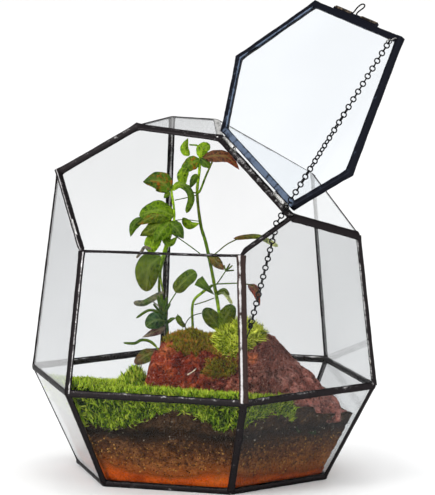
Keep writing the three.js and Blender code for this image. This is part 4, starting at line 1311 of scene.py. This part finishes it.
PLANTS["middle_sprig"] = {
    "stems": [
        ([(-8, 10, 66), (-9, 10, 88), (-9, 10, 104), (-3, 11, 111), (2, 15, 115)], 0.9, 0.9,
         [LIME, BRIGHT, LIME, GREEN]),
        ([(-8, 10, 103), (-2, 11, 105), (3, 16, 107)], 0.4, 0.35, [OLIVE, GREEN]),
        ([(-13, 8, 86), (-13, 8, 91), (-9, 8, 96), (0, 8, 99)], 0.35, 0.3, [OLIVE, DARK]),
    ],
    "leaves": [
        ("wedge", [(5, 9, 110), (-1, 9, 115), (-6, 9, 119)], 8, [DARK, GREEN], 0.15, 0),
        ("ovate", [(-13, 8, 89), (-17, 7, 93), (-18, 7, 97)], 3.5, [OLIVE, GREEN], 0.3, 0),
    ],
}
PLANTS["low_sprig"] = {
    "stems": [
        ([(-23, 2, 66), (-23, 2, 87), (-25, 2, 97), (-26, 3, 106)], 0.9, 0.6, [OLIVE, BLUISH, GREEN]),
        ([(-25, 2, 97), (-23, 4, 103), (-19, 8, 111)], 0.5, 0.4, [DARK, GREEN]),
        ([(-25, 2, 99), (-29, 0, 103), (-33, -1, 106)], 0.4, 0.35, [OLIVE, GREY]),
    ],
    "leaves": [
        ("oblong", [(-20, 7, 111), (-14, 7, 118), (-7, 9, 124)], 9, [OLIVE, GREEN], 0.15, 0),
        ("strip", [(-26, 3, 111), (-34, 0, 106), (-38, -1, 104), (-44, -2, 104)], 4,
         [GREY, DARK, GREY], 0.3, 0),
        ("round", [(-24, 2, 93), (-29, -3, 94), (-35, -5, 90)], 11, [DARK, BLUISH, DARK], 0.15, 0),
        ("ovate", [(-24, 1, 89), (-29, -4, 87), (-37, -5, 83)], 5.5, [GREY, PURPLE, GREY], 0.3, 0),
        *(("strip", blade, 1.8, [BLUISH, GREEN], 0.4, 0) for blade in (
            [(-27, 2, 97), (-29, 0, 109)], [(-26, 2, 97), (-27, 1, 110)], [(-26, 3, 97), (-24, 3, 108)])),
        *(("strip", blade, 1.6, [BLUISH, DARK], 0.4, 0) for blade in (
            [(-26, 3, 96), (-22, 4, 104)], [(-26, 2, 96), (-31, -2, 104)])),
        ("ovate", [(-24, 3, 91), (-21, 3, 94), (-18, 4, 95)], 2.4, [DARK, GREEN], 0.4, 0),
        ("ovate", [(-18, 4, 96), (-16, 4, 94), (-13, 3, 89)], 3.8, [GREEN, OLIVE], 0.4, 0),
        ("strip", [(-25, 2, 97), (-33, -3, 100), (-41, -6, 95)], 1.7, [DARK, GREEN], 0.4, 0),
    ],
}
PLANTS["mound_sprig"] = {
    "stems": [([(14, -5, 80), (14, -6, 90), (14, -8, 97)], 0.8, 0.6, [LIME, BRIGHT])],
    "leaves": [
        ("round", [(14, -8, 91), (10, -11, 98), (5, -13, 104)], 10, [BRIGHT, OLIVE, DARK], 0.3, 0),
        ("round", [(14, -8, 92), (19, -11, 100), (24, -13, 107)], 10, [BRIGHT, OLIVE, DARK], 0.3, 0),
    ],
}
PLANTS["ground_sprig"] = {
    "stems": [
        ([(-24, -11, 70), (-24, -12, 76), (-26, -12, 79)], 0.5, 0.4, [GREEN, LIME]),
        ([(2, -36, 66), (5, -35, 68), (7, -34, 70)], 0.45, 0.25, [CREAM, CREAM]),
    ],
    "leaves": [
        ("strip", [(-25, -12, 78), (-29, -14, 82), (-34, -16, 83), (-38, -18, 81), (-45, -19, 81)], 1.9,
         [LIME, GREEN, DARK, GREEN], 0.3, 0),
        ("round", [(-25, -13, 76), (-30, -18, 74), (-37, -21, 69)], 9, [PURPLE, OLIVE, PURPLE], 0.2, 0.3),
    ],
}

# The way the leaves face, and how wide each shape is along its midrib, as a share of the leaf's width
LEAF_FACE = Vector((0.3, -1, 0.4))
LEAF_SHAPES = {
    "ovate": lambda u: math.sin(math.pi * u ** 0.72) ** 0.8,
    "round": lambda u: math.sin(math.pi * u) ** 0.5,
    "oblong": lambda u: (1 - abs(2 * u - 1) ** 4) ** 0.5,
    "strip": lambda u: (1 - abs(2 * u - 1) ** 6) ** 0.5,
    "wedge": lambda u: min(u ** 0.8, 14 * (1 - u)),
}


def along_colours(colours, share):
    """The colour this far along a list of colours."""
    reach = share * (len(colours) - 1)
    i = min(int(reach), len(colours) - 2)
    return tuple(a + (b - a) * (reach - i) for a, b in zip(colours[i], colours[i + 1])) + (1,)


def stem_skin(knots, root_radius, end_radius, colours):
    route = smooth_curve([Vector(k) for k in knots], 8)
    last = len(route) - 1
    sides = 8

    def section(i):
        radius = root_radius + (end_radius - root_radius) * i / last
        radius *= 1 + 0.15 * noise.noise(route[i] / 2.5)
        return oval(2 * radius, 2 * radius, sides)

    points, faces = sweep(route, LEAF_FACE, section)
    tints = [along_colours(colours, i / last) for i in range(last + 1) for _ in range(sides)]
    return points, faces, tints, [0.0] * len(points), [0.0] * len(points)


def leaf_skin(shape, midrib, width, colours, fold, spots):
    """A leaf as a thin shell along its midrib, folded and waved a little."""
    rows, columns = 40, 16
    thickness = 0.35
    curve = smooth_curve([Vector(k) for k in midrib], 12)
    seed = Vector(midrib[0])
    turn = math.radians(16 * noise.noise(seed / 7))
    spine = []
    for i in range(rows + 1):
        reach = i / rows * (len(curve) - 1)
        k = min(int(reach), len(curve) - 2)
        here = curve[k].lerp(curve[k + 1], reach - k)
        way = (curve[k + 1] - curve[k]).normalized()
        side = Matrix.Rotation(turn, 3, way) @ LEAF_FACE.cross(way).normalized()
        spine.append((here, side, way.cross(side)))
    points, veins, tints = [], [], []
    for layer in (1, -1):
        for i, (here, side, face) in enumerate(spine):
            u = i / rows
            half = max(width / 2 * LEAF_SHAPES[shape](u), 0.15) if 0 < u < 1 else 0.15
            for j in range(columns + 1):
                v = 2 * j / columns - 1
                wave = 0.07 * width * noise.noise(Vector((5 * u, 2 * v, 0)) + seed)
                out = wave * abs(v) - fold * abs(v) * half + layer * thickness / 2 * (1 - 0.6 * abs(v))
                edge = 1 + 0.06 * noise.noise(Vector((7 * u, v, 3)) + seed)
                points.append(here + side * v * half * edge + face * out)
                rib = math.exp(-((v * 8) ** 2))
                lateral = 0.7 * max(0, math.cos(2 * math.pi * (u * 4 - abs(v) * 1.1))) ** 8
                veins.append(max(rib, lateral * (1 - abs(v) ** 3)))
                tints.append(along_colours(colours, u))
    row, sheet = columns + 1, (rows + 1) * (columns + 1)
    faces = grid(rows + 1, row) + grid(rows + 1, row, flip=True, first=sheet)
    edges = ((0, row, rows, 1), (columns, row, rows, -1), (0, 1, columns, 1), (rows * row, 1, columns, -1))
    for start, step, count, turn in edges:
        for a in range(start, start + step * count, step):
            faces.append([a, a + step, sheet + a + step, sheet + a][::turn])
    return points, faces, tints, veins, [float(spots)] * len(points)


def add_plant(node, growth):
    skins = [stem_skin(*stem) for stem in growth["stems"]] + [leaf_skin(*leaf) for leaf in growth["leaves"]]
    points, faces = joined([skin[:2] for skin in skins])
    tint, vein, spots = (sum((list(skin[k]) for skin in skins), []) for k in (2, 3, 4))
    values = {"tint": tint, "vein": vein, "spots": spots}
    add_mesh(node + "_growth", points, faces, LEAF, node, "leaf", values=values)


# ---------------------------------------------------------------- stage

def add_area(name, place, target, size, energy):
    lamp = bpy.data.lights.new(name, "AREA")
    lamp.shape = "RECTANGLE"
    lamp.size, lamp.size_y = size
    lamp.energy = energy
    held = placed(name, lamp)
    held.location = place
    held.rotation_euler = (Vector(target) - Vector(place)).to_track_quat("-Z", "Y").to_euler()


def add_stage():
    mesh = bpy.data.meshes.new("floor")
    reach = 30
    corners = [(-reach, -reach, 0), (reach, -reach, 0), (reach, reach, 0), (-reach, reach, 0)]
    mesh.from_pydata(corners, [], [[0, 1, 2, 3]])
    mesh.materials.append(floor_material())
    floor = placed("floor", mesh)

    world = bpy.data.worlds.new("studio")
    world.use_nodes = True
    background = world.node_tree.nodes["Background"]
    background.inputs["Color"].default_value = (1, 1, 1, 1)
    background.inputs["Strength"].default_value = 1.09
    bpy.context.scene.world = world
    add_area("key", (-0.75, -1.15, 0.7), target=(0, 0, 0.12), size=(0.3, 1.0), energy=9)
    add_area("top", (0.1, 0.1, 1.6), target=(0, 0, 0.1), size=(0.6, 0.6), energy=2.5)


def add_camera():
    az, el, roll = CAMERA_AZIMUTH, CAMERA_ELEVATION, CAMERA_ROLL
    back = Vector((math.sin(az) * math.cos(el), -math.cos(az) * math.cos(el), math.sin(el)))
    right = Vector((math.cos(az), math.sin(az), 0))
    over = back.cross(right)
    across = right * math.cos(roll) + over * math.sin(roll)
    upward = over * math.cos(roll) - right * math.sin(roll)
    lens = bpy.data.cameras.new("camera")
    lens.lens = CAMERA_LENS
    lens.sensor_width = 36
    lens.clip_end = 200
    camera = placed("camera", lens)
    turned = Matrix((across, upward, back)).transposed().to_4x4()
    camera.matrix_world = Matrix.Translation(CAMERA_PLACE) @ turned
    bpy.context.scene.camera = camera


# ---------------------------------------------------------------- the scene

add_camera()

CLEAR_GLASS = glass_material("clear_glass", (0.87, 0.875, 0.88), (0.8, 0.81, 0.815), (0.66, 0.67, 0.675))
# The front left, roof, front right and back right panes get darker or lighter copies of the clear glass:
# painted reflection.
SHADED_GLASS = glass_material("shaded_glass", (0.87, 0.875, 0.88), (0.69, 0.7, 0.715), (0.44, 0.455, 0.47),
                              ior=1.38)
LID_GLASS = glass_material("lid_glass", (0.94, 0.965, 0.99), (0.92, 0.95, 0.98), (0.86, 0.9, 0.94))
ROOF_GLASS = glass_material("roof_glass", (0.94, 0.965, 0.98), (0.93, 0.955, 0.97), (0.92, 0.935, 0.945),
                            ior=1.6)
RIGHT_GLASS = glass_material("right_glass", (0.84, 0.845, 0.85), (0.75, 0.757, 0.762), (0.63, 0.64, 0.645))
FAR_GLASS = glass_material("far_glass", (0.87, 0.875, 0.88), (0.83, 0.84, 0.845), (0.79, 0.8, 0.805))
SOLDER = metal_material("solder", (0.022, 0.019, 0.02), (0.62, 0.6, 0.6), 0.0, 0.3)
# A lighter, browner copy of the solder for the front right post: painted sheen where the lamp falls on it.
LIT_POST_METAL = metal_material("lit_post_metal", (0.05, 0.034, 0.031), (0.72, 0.7, 0.7), 0.0, 0.3)
CHANNEL = metal_material("channel", (0.014, 0.015, 0.021), (0.15, 0.195, 0.28), 0.0, 0.36)
LATCH_METAL = metal_material("latch_metal", (0.03, 0.025, 0.022), (0.5, 0.38, 0.26), 0.16, 0.35)
TUBE_METAL = metal_material("tube_metal", (0.2, 0.195, 0.19), (0.75, 0.74, 0.72), 0.26, 0.3)
WIRE_METAL = metal_material("wire_metal", (0.16, 0.155, 0.15), (0.6, 0.59, 0.57), 0.2, 0.28, lump=0.04)
BRIGHT_WIRE = metal_material("bright_wire", (0.5, 0.49, 0.48), (0.85, 0.84, 0.82), 0.3, 0.25, lump=0.03)
DARK_WIRE = metal_material("dark_wire", (0.012, 0.012, 0.013), (0.16, 0.155, 0.15), 0.0, 0.36, lump=0.04)
LOOP_WIRE = metal_material("loop_wire", (0.012, 0.011, 0.011), (0.4, 0.38, 0.35), 0.03, 0.3, lump=0.04)
CLAY = clay_material()
SOIL = earth_material("soil", (0.012, 0.03),
                      ((0.075, 0.021, 0.006), (0.32, 0.1, 0.025), (0.74, 0.26, 0.055)),
                      ((0.012, 0.006, 0.003), (0.06, 0.026, 0.012), (0.22, 0.1, 0.04)),
                      ((0.45, 0.2, 0.05), (0.95, 0.5, 0.1)), (0.4, 0.085, 0.012))
CHARCOAL = earth_material("charcoal", (0.037, 0.042),
                          ((0.003, 0.002, 0.0015), (0.01, 0.006, 0.004), (0.05, 0.033, 0.022)),
                          ((0.01, 0.005, 0.003), (0.05, 0.025, 0.011), (0.17, 0.09, 0.045)),
                          ((0.035, 0.022, 0.015), (0.75, 0.65, 0.5)), (0.07, 0.032, 0.014))
ROCK = rock_material()
MOSS = moss_material("moss", (0.02, 0.06, 0.003), (0.2, 0.42, 0.006), (0.62, 0.84, 0.04), (0.72, 0.75, 0.09))
LIME_MOSS = moss_material("lime_moss", (0.03, 0.08, 0.003), (0.28, 0.42, 0.006), (0.8, 0.86, 0.04),
                          (0.9, 0.9, 0.15))
BROWN_MOSS = moss_material("brown_moss", (0.06, 0.035, 0.006), (0.26, 0.24, 0.015), (0.5, 0.6, 0.04),
                           (0.6, 0.16, 0.03))
LEAF = leaf_material()

add_panes()
add_seams()
add_lid()
add_hinges()
add_latch()
add_eye_and_anchor()
add_chain()
add_ground()
for plant_node, growth in PLANTS.items():
    add_plant(plant_node, growth)
add_stage()

bpy.context.scene.view_settings.view_transform = "Standard"
bpy.context.scene.cycles.max_bounces = 24
bpy.context.scene.cycles.transmission_bounces = 24
bpy.context.scene.cycles.transparent_max_bounces = 32
bpy.context.scene.cycles.use_denoising = True
